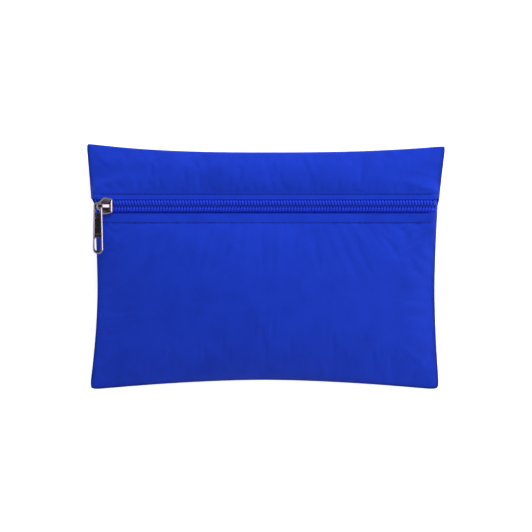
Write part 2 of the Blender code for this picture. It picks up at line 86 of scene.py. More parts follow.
# Heights of the seam line, and how far the filling pushes the panels out.
TAPE_TOP_Z = 18.0
SEAM_BELOW_TAPE = 4.0
BOTTOM_CORNER_Z = 8.0
BOTTOM_MID_Z = 13.0
TOP_CORNER_Z = 11.0
TOP_MID_Z = 13.0
DROP_BELOW_ZIP = 102.0
DROP_ABOVE_ZIP = 35.0
LOWER_BULGE = 11.0
UPPER_BULGE = 2.9
FULLNESS = {"high": (2.52, 0.62, 0.72), "low": (3.08, 0.95, 0.7)}
TABLE_U = 0.64
TABLE_S = (0.13, 0.87)
TURN_UP = 2.2

# Cloth, and how it turns in at the seams: a round roll, then the allowance inside the bag.
CLOTH = 0.5
ALLOWANCE = 8.0
ROLL_MID = 1.035
ROLL = 0.765
ALLOWANCE_Z = ROLL_MID - ROLL
ROLL_ANGLES = (67.5, 45.0, 22.5)
GRID = 0.95
MITRE = 0.85

# Zip, measured from the chain's centre line.
ZIP_Y = 33.5
UPPER_FOLD_Y = 37.1
LOWER_FOLD_Y = 29.1
UPPER_BAND = 4.1
LOWER_BAND = 5.6
STITCH_INSIDE = 0.7
UPPER_STITCH_Y = UPPER_FOLD_Y + UPPER_BAND - STITCH_INSIDE - 0.5
LOWER_STITCH_Y = LOWER_FOLD_Y - LOWER_BAND + STITCH_INSIDE
FOLD_Z = TAPE_TOP_Z + 1.35
FOLD = 0.4
HEM = 8.0
HEM_INSET = 3.0
TAPE = 0.6
TAPE_SEWN = 7.5
TAPE_REACH = 14.5
TAPE_UNDER = 1.5
TAPE_END_X = 96.0
TAPE_SEWN_X = 0.99
TAPE_OUTER_X = 0.92
TAPE_GAP = 0.45
TAPE_SPREAD = 1.75
COIL_PITCH = 1.67
COIL_STEPS = 18
COIL_THREAD = 0.13
COIL_WIRE = 0.37
COIL_STRETCH = 1.85
COIL_HEAD = -0.45
COIL_BACK = {1: 3.1, -1: 2.85}
COIL_LOW_Z = TAPE_TOP_Z + 0.45
COIL_HIGH_Z = TAPE_TOP_Z + 1.85
COIL_END_X = 94.9
COIL_WAIST = 0.95
COIL_WAIST_LENGTH = 1.4
COIL_DIP = 0.85
END_DROP = 3.6
END_DROP_X = 91.0
END_DROP_LENGTH = 4.8
# Band along the meshed heads of the coils where the nylon gets painted shade.
MESH_SHADE_Y = 33.2
MESH_SHADE_REACH = 1.3
MESH_SHADE_FADE = 0.6
FILLER = 0.55
FILLER_OUT = 1.9
STITCH = 3.0
STITCH_END_X = 94.6
TOPSTITCH = 0.15

# Slider and pull.
SLIDER_X = -90.4
SLIDER_REAR = 4.6
SLIDER_NOSE = -4.3
SLIDER_MESH = 2.2
CEILING_Z = TAPE_TOP_Z + 2.7
PLATE = 1.1
FLANGE_FOOT_Z = TAPE_TOP_Z + 1.95
FLOOR_TOP_Z = TAPE_TOP_Z - 0.95
FLOOR_PLATE = 0.9
LEG_X = SLIDER_X - 3.65
REAR_LEG_X = SLIDER_X + 2.4
LEG = 1.0
BAIL_HALF_WIDTH = 1.0
BAIL_CLEARANCE = 1.65
BAIL_BEAM = 0.95
PULL_THICKNESS = 0.9
PULL_LENGTH = 28.9
PULL_HEAD = 2.0
PULL_HEAD_HALF = (2.3, 1.6)
PULL_TIP_HALF = 2.8
PULL_TILT = math.radians(3.0)
PULL_LIFT = 0.4

# Cloth simulation of each panel: grid, scale up to Blender's usual sizes, spare cloth.
DRAPE_GRID = 2.0
DRAPE_SCALE = 0.01
DRAPE_FRAMES = 24
DRAPE_BLUR = 9
DRAPE_CAP = 0.35
DRAPE_CLOTH = {
    "quality": 6, "mass": 0.25, "tension_stiffness": 25.0, "compression_stiffness": 25.0,
    "shear_stiffness": 12.0, "bending_stiffness": 0.6, "air_damping": 2.0,
    "vertex_group_mass": "sewn", "shrink_min": -0.012, "use_pressure": True,
    "uniform_pressure_force": 3.0,
}

# The picture's width, measured at the height of the bag's outline.
FRAME_WIDTH = 298.9
SEAM_HEIGHT = 9.0

scene = bpy.context.scene


# ---------------- numbers and fields

def lerp(a, b, t):
    """The value t of the way from a to b."""
    return a + (b - a) * t


def unit(value):
    """A value held between 0 and 1."""
    return np.clip(value, 0.0, 1.0)


def smooth(t):
    """A fraction eased in and out."""
    return t * t * (3.0 - 2.0 * t)


def xyz(x, y, z):
    """Points from their coordinates, each an array or one value for all."""
    return np.stack(np.broadcast_arrays(x, y, z), axis=-1)


def bell(distance, width):
    """1 at no distance, falling smoothly to 0 over about twice the width."""
    return np.exp(-(distance / width) ** 2)


def sampled(values, i, j):
    """A lattice of values read smoothly between its points."""
    low_i, low_j = np.floor(i).astype(int), np.floor(j).astype(int)
    corners = [values[(low_i + a) % len(values), (low_j + b) % values.shape[1]]
               for b in (0, 1) for a in (0, 1)]
    part = smooth(i - low_i)
    return lerp(lerp(*corners[:2], part), lerp(*corners[2:], part), smooth(j - low_j))


def noise(x, y, cell, seed):
    """A smooth random field from -1 to 1, with features about cell mm across."""
    lattice = np.random.default_rng(seed).uniform(-1.0, 1.0, (64, 64))
    return sampled(lattice, np.asarray(x) / cell + 500.0, np.asarray(y) / cell + 500.0)


def crease(x, y, start, end, width, height):
    """A soft fold of the cloth from start to end, tapering off at both."""
    (ax, ay), (bx, by) = start, end
    length = math.hypot(bx - ax, by - ay)
    dx, dy = (bx - ax) / length, (by - ay) / length
    along = ((x - ax) * dx + (y - ay) * dy) / length
    off = (x - ax) * -dy + (y - ay) * dx
    return height * np.sin(math.pi * unit(along)) ** 0.8 * bell(off, width)


# ---------------- outline and heights

def top_y(u):
    """Y of the top seam; u runs from -1 at the left corner to 1 at the right one."""
    return TOP_MID_Y + np.where(u > 0, TOP_CORNER_RISE[1], TOP_CORNER_RISE[0]) * np.abs(u) ** 2.6


def bottom_y(u):
    """Y of the bottom seam."""
    return BOTTOM_MID_Y - BOTTOM_CORNER_DROP * np.abs(u) ** 1.7


def side_x(y, right):
    """X of a side seam at height y."""
    foot = WAIST_X + FOOT_FLARE[right] * (np.maximum(0.0, WAIST_Y - y) / FOOT_LENGTH) ** 1.8
    rise = unit((y - WAIST_Y) / (ZIP_Y - WAIST_Y)) ** 1.6
    step = HEAD_STEP[right] * unit((y - ZIP_Y) / (UPPER_FOLD_Y - ZIP_Y))
    flare = HEAD_FLARE[right] * (np.maximum(0.0, y - UPPER_FOLD_Y) / HEAD_LENGTH) ** 1.15
    reach = np.where(y < WAIST_Y, foot, lerp(WAIST_X, ZIP_END_X, rise)) + step + flare
    return reach if right else -reach


def side_z(y):
    """Height of the side seams."""
    peak = TAPE_TOP_Z - SEAM_BELOW_TAPE
    below = unit((ZIP_Y - y) / DROP_BELOW_ZIP) ** 2.2
    above = unit((y - ZIP_Y) / DROP_ABOVE_ZIP) ** 1.8
    return np.where(y < ZIP_Y, lerp(peak, BOTTOM_CORNER_Z, below), lerp(peak, TOP_CORNER_Z, above))


def end_z(u, at_top):
    """Height of the top or the bottom seam."""
    middle, corner = (TOP_MID_Z, TOP_CORNER_Z) if at_top else (BOTTOM_MID_Z, BOTTOM_CORNER_Z)
    return lerp(middle, corner, np.abs(u) ** 2.2)


def roll(inset):
    """Height of the cloth over the seam line, round the roll at the seam's edge."""
    return ROLL_MID + np.sqrt(ROLL ** 2 - np.clip(ROLL - inset, 0.0, ROLL) ** 2)


def across_bulge(u):
    """Fullness across the bag, 0 at the side seams and 1 in the middle."""
    return np.maximum(0.0, 1.0 - np.abs(u) ** 2.2) ** 0.9


def turn_up(distance, reach):
    """Rise of the back from the table's edge (0) to the seam (1)."""
    return unit(distance / reach) ** TURN_UP


class Panel:
    """One panel of the bag, from its low edge (s = 0) to its high edge (s = 1)."""

    def __init__(self, low_y, high_y, side, detail, bulge=0.0, zip_edge=None, band=0.0):
        self.low_y, self.high_y = low_y, high_y
        self.side, self.detail, self.bulge, self.zip_edge = side, detail, bulge, zip_edge
        self.zip_low, self.zip_high = zip_edge == "low", zip_edge == "high"
        self.span = float(high_y(np.zeros(1))[0] - low_y(np.zeros(1))[0])
        self.band = band / self.span

    def edge_y(self, s):
        """Y along the panel's side seams."""
        corner = np.ones_like(s)
        return lerp(self.low_y(corner), self.high_y(corner), s)

    def flat(self, u, s):
        """The point's place in plan."""
        edge = self.edge_y(s)
        x = lerp(side_x(edge, False), side_x(edge, True), (u + 1.0) / 2.0)
        y = lerp(self.low_y(u), self.high_y(u), s)
        side = (1.0 - np.abs(u)) * HALF_WIDTH
        for away, end, corner in ((1.0, s, "low"), (-1.0, 1.0 - s, "high")):
            if corner != self.zip_edge:
                depth, reach = CORNER_ROUND[corner]
                end = np.maximum(end, 0.0) * self.span
                x = x - np.sign(u) * depth * np.exp(-end / reach - side / reach / 2.0)
                y = y + away * depth * np.exp(-side / reach - end / reach / 2.0)
        return x, y

    def free(self, s):
        """s counted on the loose cloth only: the sewn band along the zip stays level."""
        return unit((s - (self.band if self.zip_low else 0.0)) / (1.0 - self.band))

    def seam(self, u, s):
        """Height of the surface spanned by the seams round the panel."""
        s = self.free(s)
        level = (FOLD_Z - ROLL_MID - ROLL,) * 2
        low, low_end = level if self.zip_low else (end_z(u, False), BOTTOM_CORNER_Z)
        high, high_end = level if self.zip_high else (end_z(u, True), TOP_CORNER_Z)
        dip = side_z(self.edge_y(s)) - lerp(low_end, high_end, s)
        if self.zip_edge:
            near_zip = s if self.zip_high else 1.0 - s
            dip = dip * np.abs(u) ** (3.0 + 117.0 * near_zip ** 8)
        return lerp(low, high, s) + dip

    def along_bulge(self, s):
        """Fullness from the low to the high edge."""
        s = self.free(s)
        scale, rise, fall = FULLNESS[self.zip_edge]
        return scale * s ** rise * (1.0 - s) ** fall

    def insets(self, u, s):
        """Distances to the nearer side seam and to the nearer seam along the panel."""
        to_low, to_high = s * self.span, (1.0 - s) * self.span
        along = {"high": to_low, "low": to_high}.get(self.zip_edge, np.minimum(to_low, to_high))
        return (1.0 - np.abs(u)) * HALF_WIDTH, along

    def surface(self, u, s):
        """Points of the panel's middle surface, with its wrinkles and stitch grooves."""
        x, y = self.flat(u, s)
        inset = np.minimum(*self.insets(u, s))
        z = self.seam(u, s) + self.side * roll(inset)
        if self.zip_edge:
            z = z + self.bulge * across_bulge(u) * self.along_bulge(s)
        else:
            across = 1.0 - turn_up(np.abs(u) - TABLE_U, 1.0 - TABLE_U)
            low, high = TABLE_S
            along = 1.0 - turn_up(low - s, low) - turn_up(s - high, 1.0 - high)
            z = lerp(z, CLOTH / 2.0, across * along)
        z = z + self.side * self.detail(x, y, inset)
        return x, y, np.maximum(z, CLOTH / 2.0)

    def height_at(self, x, y):
        """Height of the middle surface over a point in plan."""
        u = np.asarray(x) / HALF_WIDTH
        for _ in range(4):
            s = (y - self.low_y(u)) / (self.high_y(u) - self.low_y(u))
            low_x, high_x = side_x(self.edge_y(s), False), side_x(self.edge_y(s), True)
            u = 2.0 * (x - low_x) / (high_x - low_x) - 1.0
        return self.surface(u, s)[2]


# ---------------- wrinkles

def seam_pucker(x, y, inset, seed):
    """Short wrinkles that the sewing draws in along every seam, and slow waves beside it."""
    short = noise(x, y, 4.2, seed) * bell(inset, 4.5) * np.clip(inset / 0.8, 0.0, 1.0)
    slow = noise(x, y, 13.0, seed + 1) * bell(inset - 7.0, 8.0)
    return 0.34 * short + 0.30 * slow


def loose_waves(x, y, inset, seed):
    """The soft unevenness of cloth over a filling."""
    return unit(inset / 14.0) * (0.42 * noise(x, y, 34.0, seed) + 0.16 * noise(x, y, 15.0, seed + 1))


def band_lift(y, line_y, fold_y, edge, line, fade):
    """Lift of the doubled band: one height at its fold, another at its stitches, then none."""
    past = unit((np.abs(y - fold_y) - abs(line_y - fold_y)) / fade)
    return lerp(edge, line, unit((y - fold_y) / (line_y - fold_y))) * (1.0 - past) ** 1.5


def stitch_row(x, y, line_y, fold_y, depth, seed):
    """Groove under a topstitch line, with a pucker at each stitch and a full band beside it."""
    beat = np.cos(2.0 * math.pi * x / STITCH)
    off = y - line_y
    groove = -depth * (0.8 + 0.2 * beat) * bell(off, 0.45)
    pucker = 0.05 * beat * bell(off, 1.6) + 0.10 * noise(x, y, 3.4, seed) * bell(off, 3.5)
    return groove + pucker + 0.12 * np.sin(math.pi * unit(off / (fold_y - line_y)))


LOWER_CREASES = (
    ((96.0, 27.0), (68.0, 17.0), 1.3, -0.40),
    ((96.0, 20.0), (66.0, 4.0), 1.7, -0.45),
    ((99.0, 14.0), (73.0, 3.0), 2.4, -0.50),
    ((-95.0, 21.0), (-70.0, 8.0), 2.2, 0.30),
    ((-96.0, -58.0), (-72.0, -40.0), 2.4, 0.40),
    ((95.0, -60.0), (74.0, -44.0), 2.2, 0.40),
    ((-60.0, -64.0), (-52.0, -50.0), 1.9, 0.30),
    ((-12.0, -65.0), (-8.0, -50.0), 2.0, 0.28),
    ((34.0, -65.0), (30.0, -52.0), 1.8, 0.30),
    ((70.0, -66.0), (62.0, -52.0), 2.0, 0.28),
)
UPPER_CREASES = (
    ((97.0, 42.0), (74.0, 48.0), 1.4, 0.45),
    ((98.0, 50.0), (80.0, 54.0), 1.6, 0.30),
    ((-98.0, 44.0), (-80.0, 50.0), 1.6, 0.35),
    ((-99.0, 66.0), (-84.0, 54.0), 1.8, 0.35),
    ((99.0, 65.0), (84.0, 53.0), 1.8, 0.35),
    ((-40.0, 64.0), (-36.0, 54.0), 1.7, 0.25),
    ((22.0, 64.0), (26.0, 53.0), 1.6, 0.25),
)


def front_detail(line_y, fold_y, seed, loosening, groove, lifts, margin, creases):
    """The wrinkles of a front panel, as a function of a place and its distance from the seams."""
    away = math.copysign(1.0, line_y - fold_y)

    def detail(x, y, inset):
        loose = unit(away * (y - line_y) / loosening)
        z = seam_pucker(x, y, inset, seed) + loose * loose_waves(x, y, inset, seed + 2)
        z = z + stitch_row(x, y, line_y, fold_y, groove, seed + 4)
        z = z + band_lift(y, line_y, fold_y, *lifts) * unit((inset - margin[0]) / margin[1])
        for fold in creases:
            z = z + crease(x, y, *fold) * unit(inset / 3.0)
        return z * unit(inset / 0.6)

    return detail


def back_detail(x, y, inset):
    """Wrinkles of the back, pressed flat where it lies."""
    return seam_pucker(x, y, inset, 31) + 0.8 * loose_waves(x, y, inset, 33)


LOWER_WRINKLES = front_detail(LOWER_STITCH_Y, LOWER_FOLD_Y, 11, 10.0, 0.14, (0.0, 1.3, 40.0),
                              (13.0, 18.0), LOWER_CREASES)
UPPER_WRINKLES = front_detail(UPPER_STITCH_Y, UPPER_FOLD_Y, 21, 8.0, 0.30, (0.6, 0.0, 1.0),
                              (0.0, 6.0), UPPER_CREASES)
LOWER = Panel(bottom_y, lambda u: np.full_like(u, LOWER_FOLD_Y), 1, LOWER_WRINKLES,
              LOWER_BULGE, "high", LOWER_BAND)
UPPER = Panel(lambda u: np.full_like(u, UPPER_FOLD_Y), top_y, 1, UPPER_WRINKLES,
              UPPER_BULGE, "low", UPPER_BAND)
BACK = Panel(bottom_y, top_y, -1, back_detail)


# ---------------- meshes

def grid_faces(valid, flip):
    """Quads of a grid of points, where valid marks the points that exist."""
    index = np.full(valid.shape, -1)
    index[valid] = np.arange(valid.sum())
    corners = np.stack([index[:-1, :-1], index[:-1, 1:], index[1:, 1:], index[1:, :-1]], axis=-1)
    faces = corners.reshape(-1, 4)
    faces = faces[(faces >= 0).all(axis=1)]
    return faces[:, ::-1] if flip else faces


def make_mesh(name, points, faces, cloth_uv=None):
    """A mesh from points in mm, with the flat cloth's own coordinates in mm as its UV map."""
    mesh = bpy.data.meshes.new(name)
    mesh.from_pydata((np.asarray(points) * MM).tolist(), [], [list(map(int, f)) for f in faces])
    if cloth_uv is not None:
        layer = mesh.uv_layers.new(name="cloth")
        corner = np.empty(len(mesh.loops), int)
        mesh.loops.foreach_get("vertex_index", corner)
        layer.data.foreach_set("uv", np.asarray(cloth_uv, np.float32)[corner].ravel())
    mesh.shade_smooth()
    return mesh


def into_scene(name, data):
    """A new object in the scene."""
    thing = bpy.data.objects.new(name, data)
    scene.collection.objects.link(thing)
    return thing


def place(name, mesh, *finishes):
    """A piece in the scene, with its materials."""
    thing = into_scene(name, mesh)
    for finish in finishes:
        mesh.materials.append(finish)
    return thing


def evaluated(thing):
    """A mesh of the object as its modifiers, or its curve, make it."""
    bpy.context.view_layer.update()
    graph = bpy.context.evaluated_depsgraph_get()
    return bpy.data.meshes.new_from_object(thing.evaluated_get(graph))


def applied(thing):
    """The object with its modifiers applied."""
    mesh, old = evaluated(thing), thing.data
    thing.modifiers.clear()
    thing.data = mesh
    bpy.data.meshes.remove(old)
    return thing


def edited(mesh, change):
    """The mesh after a change to its bmesh."""
    work = bmesh.new()
    work.from_mesh(mesh)
    change(work)
    work.to_mesh(mesh)
    work.free()
    return mesh


def drop_cut_faces(work):
    """Remove the rim where a panel's two halves meet, so that the cloth runs through."""
    cut = [f for f in work.faces if all(abs(v.co.x) < 1e-6 for v in f.verts)]
    bmesh.ops.delete(work, geom=cut, context="FACES_ONLY")


def face_outwards(work):
    """Turn every face of a closed mesh outwards."""
    bmesh.ops.recalc_face_normals(work, faces=work.faces)


def weld(work):
    """Join the points that a filled curve leaves doubled."""
    bmesh.ops.remove_doubles(work, verts=work.verts, dist=2e-6)
    face_outwards(work)


def arc_lengths(points, valid, *bases):
    """The cloth's flat coordinates: lengths along its rows, then its columns, from the bases."""
    filled = np.where(valid[..., None], points, np.nan)
    result = []
    for axis, base in zip((1, 0), bases):
        step = np.nan_to_num(np.linalg.norm(np.diff(filled, axis=axis), axis=2))
        length = np.cumsum(np.insert(step, 0, 0.0, axis=axis), axis=axis)
        result.append(length - np.take(length, [base], axis=axis))
    return np.stack(result, axis=-1)


def solid_cloth(name, points, valid, flip, base, finishes, thickness=CLOTH, seam=None):
    """Cloth of real thickness from a grid of points, outside finish first, then inside.

    The attribute seam is 1 where painted shade darkens the cloth at its seams and 0 away from them.
    """
    uv = arc_lengths(points, valid, *base)
    faces = grid_faces(valid, flip)
    mesh = make_mesh(name, points[valid], faces, uv[valid])
    if seam is not None:
        layer = mesh.attributes.new("seam", "FLOAT", "POINT")
        layer.data.foreach_set("value", seam[valid].astype(np.float32))
    thing = place(name, mesh, *finishes)
    shell = thing.modifiers.new("cloth", "SOLIDIFY")
    shell.thickness = thickness * MM
    shell.offset = 0.0
    shell.material_offset = len(finishes) - 1
    edited(applied(thing).data, drop_cut_faces)
    thing.data.set_sharp_from_angle(angle=math.radians(58.0))
    return thing


def steps_in(length, first=()):
    """Distances from an edge, close together at it and then about GRID apart."""
    start = first[-1] if first else 0.0
    count = max(1, round((length - start) / GRID))
    return list(first) + [lerp(start, length, (k + 1) / count) for k in range(count)]


ROLL_INSETS = [0.0] + [ROLL * (1.0 - math.sin(math.radians(a))) for a in ROLL_ANGLES] + [ROLL, 1.3]
UNDER = [(ALLOWANCE, ALLOWANCE_Z), (4.0, ALLOWANCE_Z), (ROLL, ALLOWANCE_Z)]
UNDER += [(ROLL * (1.0 - math.cos(math.radians(a))), ROLL_MID - ROLL * math.sin(math.radians(a)))
          for a in ROLL_ANGLES]


def columns():
    """u of every column from the left seam to the right one, with one at the middle."""
    half = steps_in(HALF_WIDTH, ROLL_INSETS)
    left = [-1.0 + d / HALF_WIDTH for d in half]
    return np.array(left + [-u for u in left[-2::-1]])


def blurred(field, radius):
    """A field smoothed over its neighbours, with its edges held."""
    kernel = np.hanning(2 * radius + 3)[1:-1]
    kernel /= kernel.sum()
    for axis in (0, 1):
        pad = [(0, 0)] * field.ndim
        pad[axis] = (radius, radius)
        wide = np.pad(field, pad, mode="edge")
        field = np.apply_along_axis(lambda line: np.convolve(line, kernel, "valid"), axis, wide)
    return field


def drape(panel):
    """Wrinkles from a cloth simulation: the panel, cut a little large, swells in its seams.

    Returns how far each point moved outwards, in mm, without the slow swelling.
    """
    u = np.linspace(-1.0, 1.0, 2 * round(HALF_WIDTH / DRAPE_GRID) + 1)
    s = np.linspace(0.0, 1.0, round(panel.span / DRAPE_GRID) + 1)
    u, s = np.meshgrid(u, s)
    start = xyz(*panel.surface(u, s))
    thing = place("drape", make_mesh("drape", start.reshape(-1, 3) * DRAPE_SCALE / MM,
                                     grid_faces(np.ones(u.shape, bool), panel.side < 0)))
    edge = (np.abs(u) > 0.999) | (s < 0.001) | (s > 0.999)
    if panel.zip_edge:
        edge |= s > 1.0 - panel.band if panel.zip_high else s < panel.band
    held = thing.vertex_groups.new(name="sewn")
    held.add([int(i) for i in np.flatnonzero(edge.ravel())], 1.0, "REPLACE")
    cloth = thing.modifiers.new("cloth", "CLOTH")
    for key, value in DRAPE_CLOTH.items():
        setattr(cloth.settings, key, value)
    cloth.settings.effector_weights.gravity = 0.0
    cloth.point_cache.frame_start = 1
    cloth.point_cache.frame_end = DRAPE_FRAMES
    for number in range(1, DRAPE_FRAMES + 1):
        scene.frame_set(number)
    moved = np.empty(start.size)
    applied(thing).data.vertices.foreach_get("co", moved)
    bpy.data.objects.remove(thing, do_unlink=True)
    scene.frame_set(1)
    rise = panel.side * (moved.reshape(start.shape) / DRAPE_SCALE - start)[..., 2]
    fine = rise - blurred(rise, DRAPE_BLUR)
    fine *= unit(np.minimum(*panel.insets(u, s)) / 4.0)
    return DRAPE_CAP * np.tanh(fine / DRAPE_CAP)


def panel_points(panel, u, distances, wrinkles):
    """The panel's own grid, at distances from its low edge, with the simulated wrinkles."""
    s = np.asarray(distances) / panel.span
    grid_u, grid_s = np.meshgrid(u, s)
    x, y, z = panel.surface(grid_u, grid_s)
    if wrinkles is not None:
        rows, cols = wrinkles.shape
        i, j = unit(grid_s) * (rows - 1), (np.clip(grid_u, -1.0, 1.0) + 1.0) / 2.0 * (cols - 1)
        z = np.maximum(z + panel.side * sampled(wrinkles, i, j), CLOTH / 2.0)
    return xyz(x, y, z), s


def turned_in(panel, u, s, turn, inset, seam_z):
    """Lines of the cloth that turns in at a seam, from its raw edge to the roll.

    turn is the change of u and s for each mm inwards, inset the distance to the next seam.
    """
    lines = []
    for reach, height in UNDER:
        depth = np.minimum(reach, 0.06 + MITRE * inset)
        x, y = panel.flat(u + turn[0] * depth, s + turn[1] * depth)
        lift = lerp(ROLL_MID, height, np.clip(inset / ROLL, 0.05, 1.0))
        lines.append(xyz(x, y, seam_z + panel.side * lift))
    return lines


def hem_lines(panel, u):
    """Rows of the hem: round the fold at the zip and back under the panel."""
    edge, away, fold_y = (0.0, 1.0, UPPER_FOLD_Y) if panel is UPPER else (1.0, -1.0, LOWER_FOLD_Y)
    turns = [math.radians(22.5 * k) for k in range(1, 8)]
    steps = [(FOLD, -FOLD * math.sin(turn), FOLD * (1.0 - math.cos(turn))) for turn in turns]
    steps += [(depth, depth, 2.0 * FOLD) for depth in steps_in(HEM, (FOLD, 1.4))]
    lines = []
    for depth, forward, drop in steps:
        x, y, z = panel.surface(u, np.full_like(u, edge + away * depth / panel.span))
        start = y if forward < 0.0 else fold_y
        lines.append(xyz(x, start + away * forward, z - drop))
    return lines


def cloth_panel(panel, name, u, distances, wrinkles, finishes):
    """A whole panel with its turned-in edges, as solid cloth, between the given columns."""
    inner, s = panel_points(panel, u, distances, wrinkles)
    side = panel.insets(1.0, s)[1], side_z(panel.edge_y(s))
    left = turned_in(panel, -1.0, s, (1.0 / HALF_WIDTH, 0.0), *side) if u[0] < -0.999 else []
    right = turned_in(panel, 1.0, s, (-1.0 / HALF_WIDTH, 0.0), *side) if u[-1] > 0.999 else []
    to_side = (1.0 - np.abs(u)) * HALF_WIDTH
    if panel.zip_low:
        below = hem_lines(panel, u)[::-1]
    else:
        below = turned_in(panel, u, 0.0, (0.0, 1.0 / panel.span), to_side, end_z(u, False))
    if panel.zip_high:
        above = hem_lines(panel, u)
    else:
        above = turned_in(panel, u, 1.0, (0.0, -1.0 / panel.span), to_side, end_z(u, True))[::-1]
    pad = ((0, 0), (len(left), len(right)), (0, 0))
    body = np.stack(left + list(inner.swapaxes(0, 1)) + right[::-1], axis=1)
    points = np.vstack([np.pad(below, pad, constant_values=np.nan), body,
                        np.pad(above, pad, constant_values=np.nan)])
    valid = ~np.isnan(points[..., 0])
    rows, cols = slice(len(below), len(below) + len(s)), slice(len(left), len(left) + len(u))
    side, end = panel.insets(*np.meshgrid(u, s))
    if panel.zip_low:
        end = end + 2.0
    # seam: weight of the painted shade along the seams, full on the turned-in allowances, none on the
    # hem.
    seam = np.ones(valid.shape)
    seam[rows, cols] = bell(np.minimum(side, end), 1.1)
    if panel.zip_edge:
        hem = slice(0, rows.start) if panel.zip_low else slice(rows.stop, None)
        valid[hem, cols] &= to_side >= HEM_INSET
        seam[hem] = 0.0
    base_row = rows.stop - 1 if panel.zip_high else rows.start
    base = cols.start + int(np.argmin(np.abs(u))), base_row
    return solid_cloth(name, points, valid, panel.side < 0, base, finishes, seam=seam)


def ride_as(thing, body, slot, *nodes):
    """The piece moves with a body and stands for CAD nodes, which it hides; slot is not used."""
    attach(thing, body)
    if nodes:
        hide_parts(*nodes)
    return thing


def bend_as(thing, half, slot, *nodes):
    """A half of the mouth's lower lip, its place baked into its mesh, standing for CAD nodes, which it
    hides; half and slot are not used.
    """
    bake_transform(thing)
    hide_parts(*nodes)
    return thing


HALVES = {"left": (-1.0, 0.0), "right": (0.0, 1.0)}


def within(u, half):
    """The columns of one half of the bag, the middle one included."""
    low, high = HALVES[half]
    return u[(u >= low - 1e-9) & (u <= high + 1e-9)]


# ---------------- tubes, stitches, coils

def ring_faces(count, levels, closed=False):
    """Quads between rings of count points, with a cap at each end unless they close up."""
    faces = []
    for k in range(levels if closed else levels - 1):
        low, high = k * count, (k + 1) % levels * count
        faces += [(low + n, low + (n + 1) % count, high + (n + 1) % count, high + n)
                  for n in range(count)]
    if not closed:
        faces += [list(range(count))[::-1], [(levels - 1) * count + n for n in range(count)]]
    return faces


def tube(path, radius, sides=8, stretch=1.0):
    """Points and faces of a wire along a path, wider along X if stretched, with rounded ends."""
    path = np.asarray(path, float)
    size = np.broadcast_to(np.asarray(radius, float), len(path)).copy()
    tangent = np.gradient(path, axis=0)
    tangent /= np.linalg.norm(tangent, axis=1)[:, None]
    nose = 0.5 * size[0]
    path = np.vstack([path[0] - tangent[0] * nose, path, path[-1] + tangent[-1] * nose])
    tangent = np.vstack([tangent[0], tangent, tangent[-1]])
    size = np.concatenate([[size[0] * 0.55], size, [size[-1] * 0.55]])
    normal = np.cross(tangent[0], [0.31, 0.17, 0.93])
    angles = np.arange(sides) * 2.0 * math.pi / sides
    rings = []
    for centre, along, wide in zip(path, tangent, size):
        normal = normal - along * normal.dot(along)
        normal /= np.linalg.norm(normal)
        other = np.cross(along, normal)
        ring = np.outer(np.cos(angles), normal) + np.outer(np.sin(angles), other)
        rings.append(centre + wide * ring * (stretch, 1.0, 1.0))
    return np.vstack(rings), ring_faces(sides, len(path))


def wire_piece(name, tubes, finish):
    """A piece of one or more wires or threads, with a depth weight near the zip's meshed heads, which
    the nylon uses for painted shade.
    """
    faces, base = [], 0
    for part, own in tubes:
        faces += [[i + base for i in face] for face in own]
        base += len(part)
    points = np.vstack([part for part, own in tubes])
    mesh = make_mesh(name, points, faces)
    # depth: weight of the painted shade where the coils mesh, 1 on the centre band and fading to 0.
    depth = unit((MESH_SHADE_REACH - np.abs(points[:, 1] - MESH_SHADE_Y)) / MESH_SHADE_FADE)
    mesh.attributes.new("depth", "FLOAT", "POINT").data.foreach_set("value", depth)
    return place(name, mesh, finish)


def spread(x):
    """How far the slider's wedge holds each half of the chain from the centre line."""
    nose, closed = SLIDER_X + SLIDER_NOSE, SLIDER_X + SLIDER_MESH
    return TAPE_SPREAD * unit((closed - x) / (closed - nose)) ** 1.3


def end_drop(x):
    """How far the chain sinks where its ends are caught in the side seams."""
    return END_DROP * unit((np.abs(x) - END_DROP_X) / END_DROP_LENGTH) ** 2.2


def coil_path(side, low_x, high_x):
    """Centre line of one half's nylon coil: a flattened helix whose heads dip to mesh."""
    shift = 0.0 if side > 0 else 0.5
    first, last = low_x / COIL_PITCH - shift, high_x / COIL_PITCH - shift
    turn = np.linspace(first, last, round((last - first) * COIL_STEPS) + 1)
    c, s = np.cos(2.0 * math.pi * turn), np.sin(2.0 * math.pi * turn)
    swing = np.sign(c) * np.abs(c) ** 0.75
    lift = np.sign(s) * np.abs(s) ** 0.7
    out = lerp(COIL_HEAD, COIL_BACK[side], (1.0 + swing) / 2.0)
    half = (COIL_HIGH_Z - COIL_LOW_Z) / 2.0
    head = unit((COIL_WAIST - out) / COIL_WAIST_LENGTH)
    x = (turn + shift) * COIL_PITCH
    z = COIL_LOW_Z + half * (1.0 + lift) * (1.0 - COIL_DIP * head ** 1.2) - end_drop(x)
    return xyz(x, ZIP_Y + side * (out + spread(x)), z), COIL_WIRE * (1.0 + 0.12 * head)


def coil_threads(side, low_x, high_x):
    """The stitches that hold the coil down: one short bridge over each of its turns."""
    tubes = []
    shift = 0.25 if side > 0 else 0.75
    t = np.linspace(-1.0, 1.0, 9)
    for number in range(math.ceil(low_x / COIL_PITCH - shift),
                        math.floor(high_x / COIL_PITCH - shift) + 1):
        centre = (number + shift) * COIL_PITCH
        y = ZIP_Y + side * (FILLER_OUT + 0.16 * t + spread(centre))
        z = COIL_HIGH_Z + COIL_WIRE + 0.08 - 0.85 * np.abs(t) ** 2.6 - end_drop(centre)
        tubes.append(tube(xyz(centre + 0.56 * COIL_PITCH * t, y, z), COIL_THREAD, 6))
    return tubes


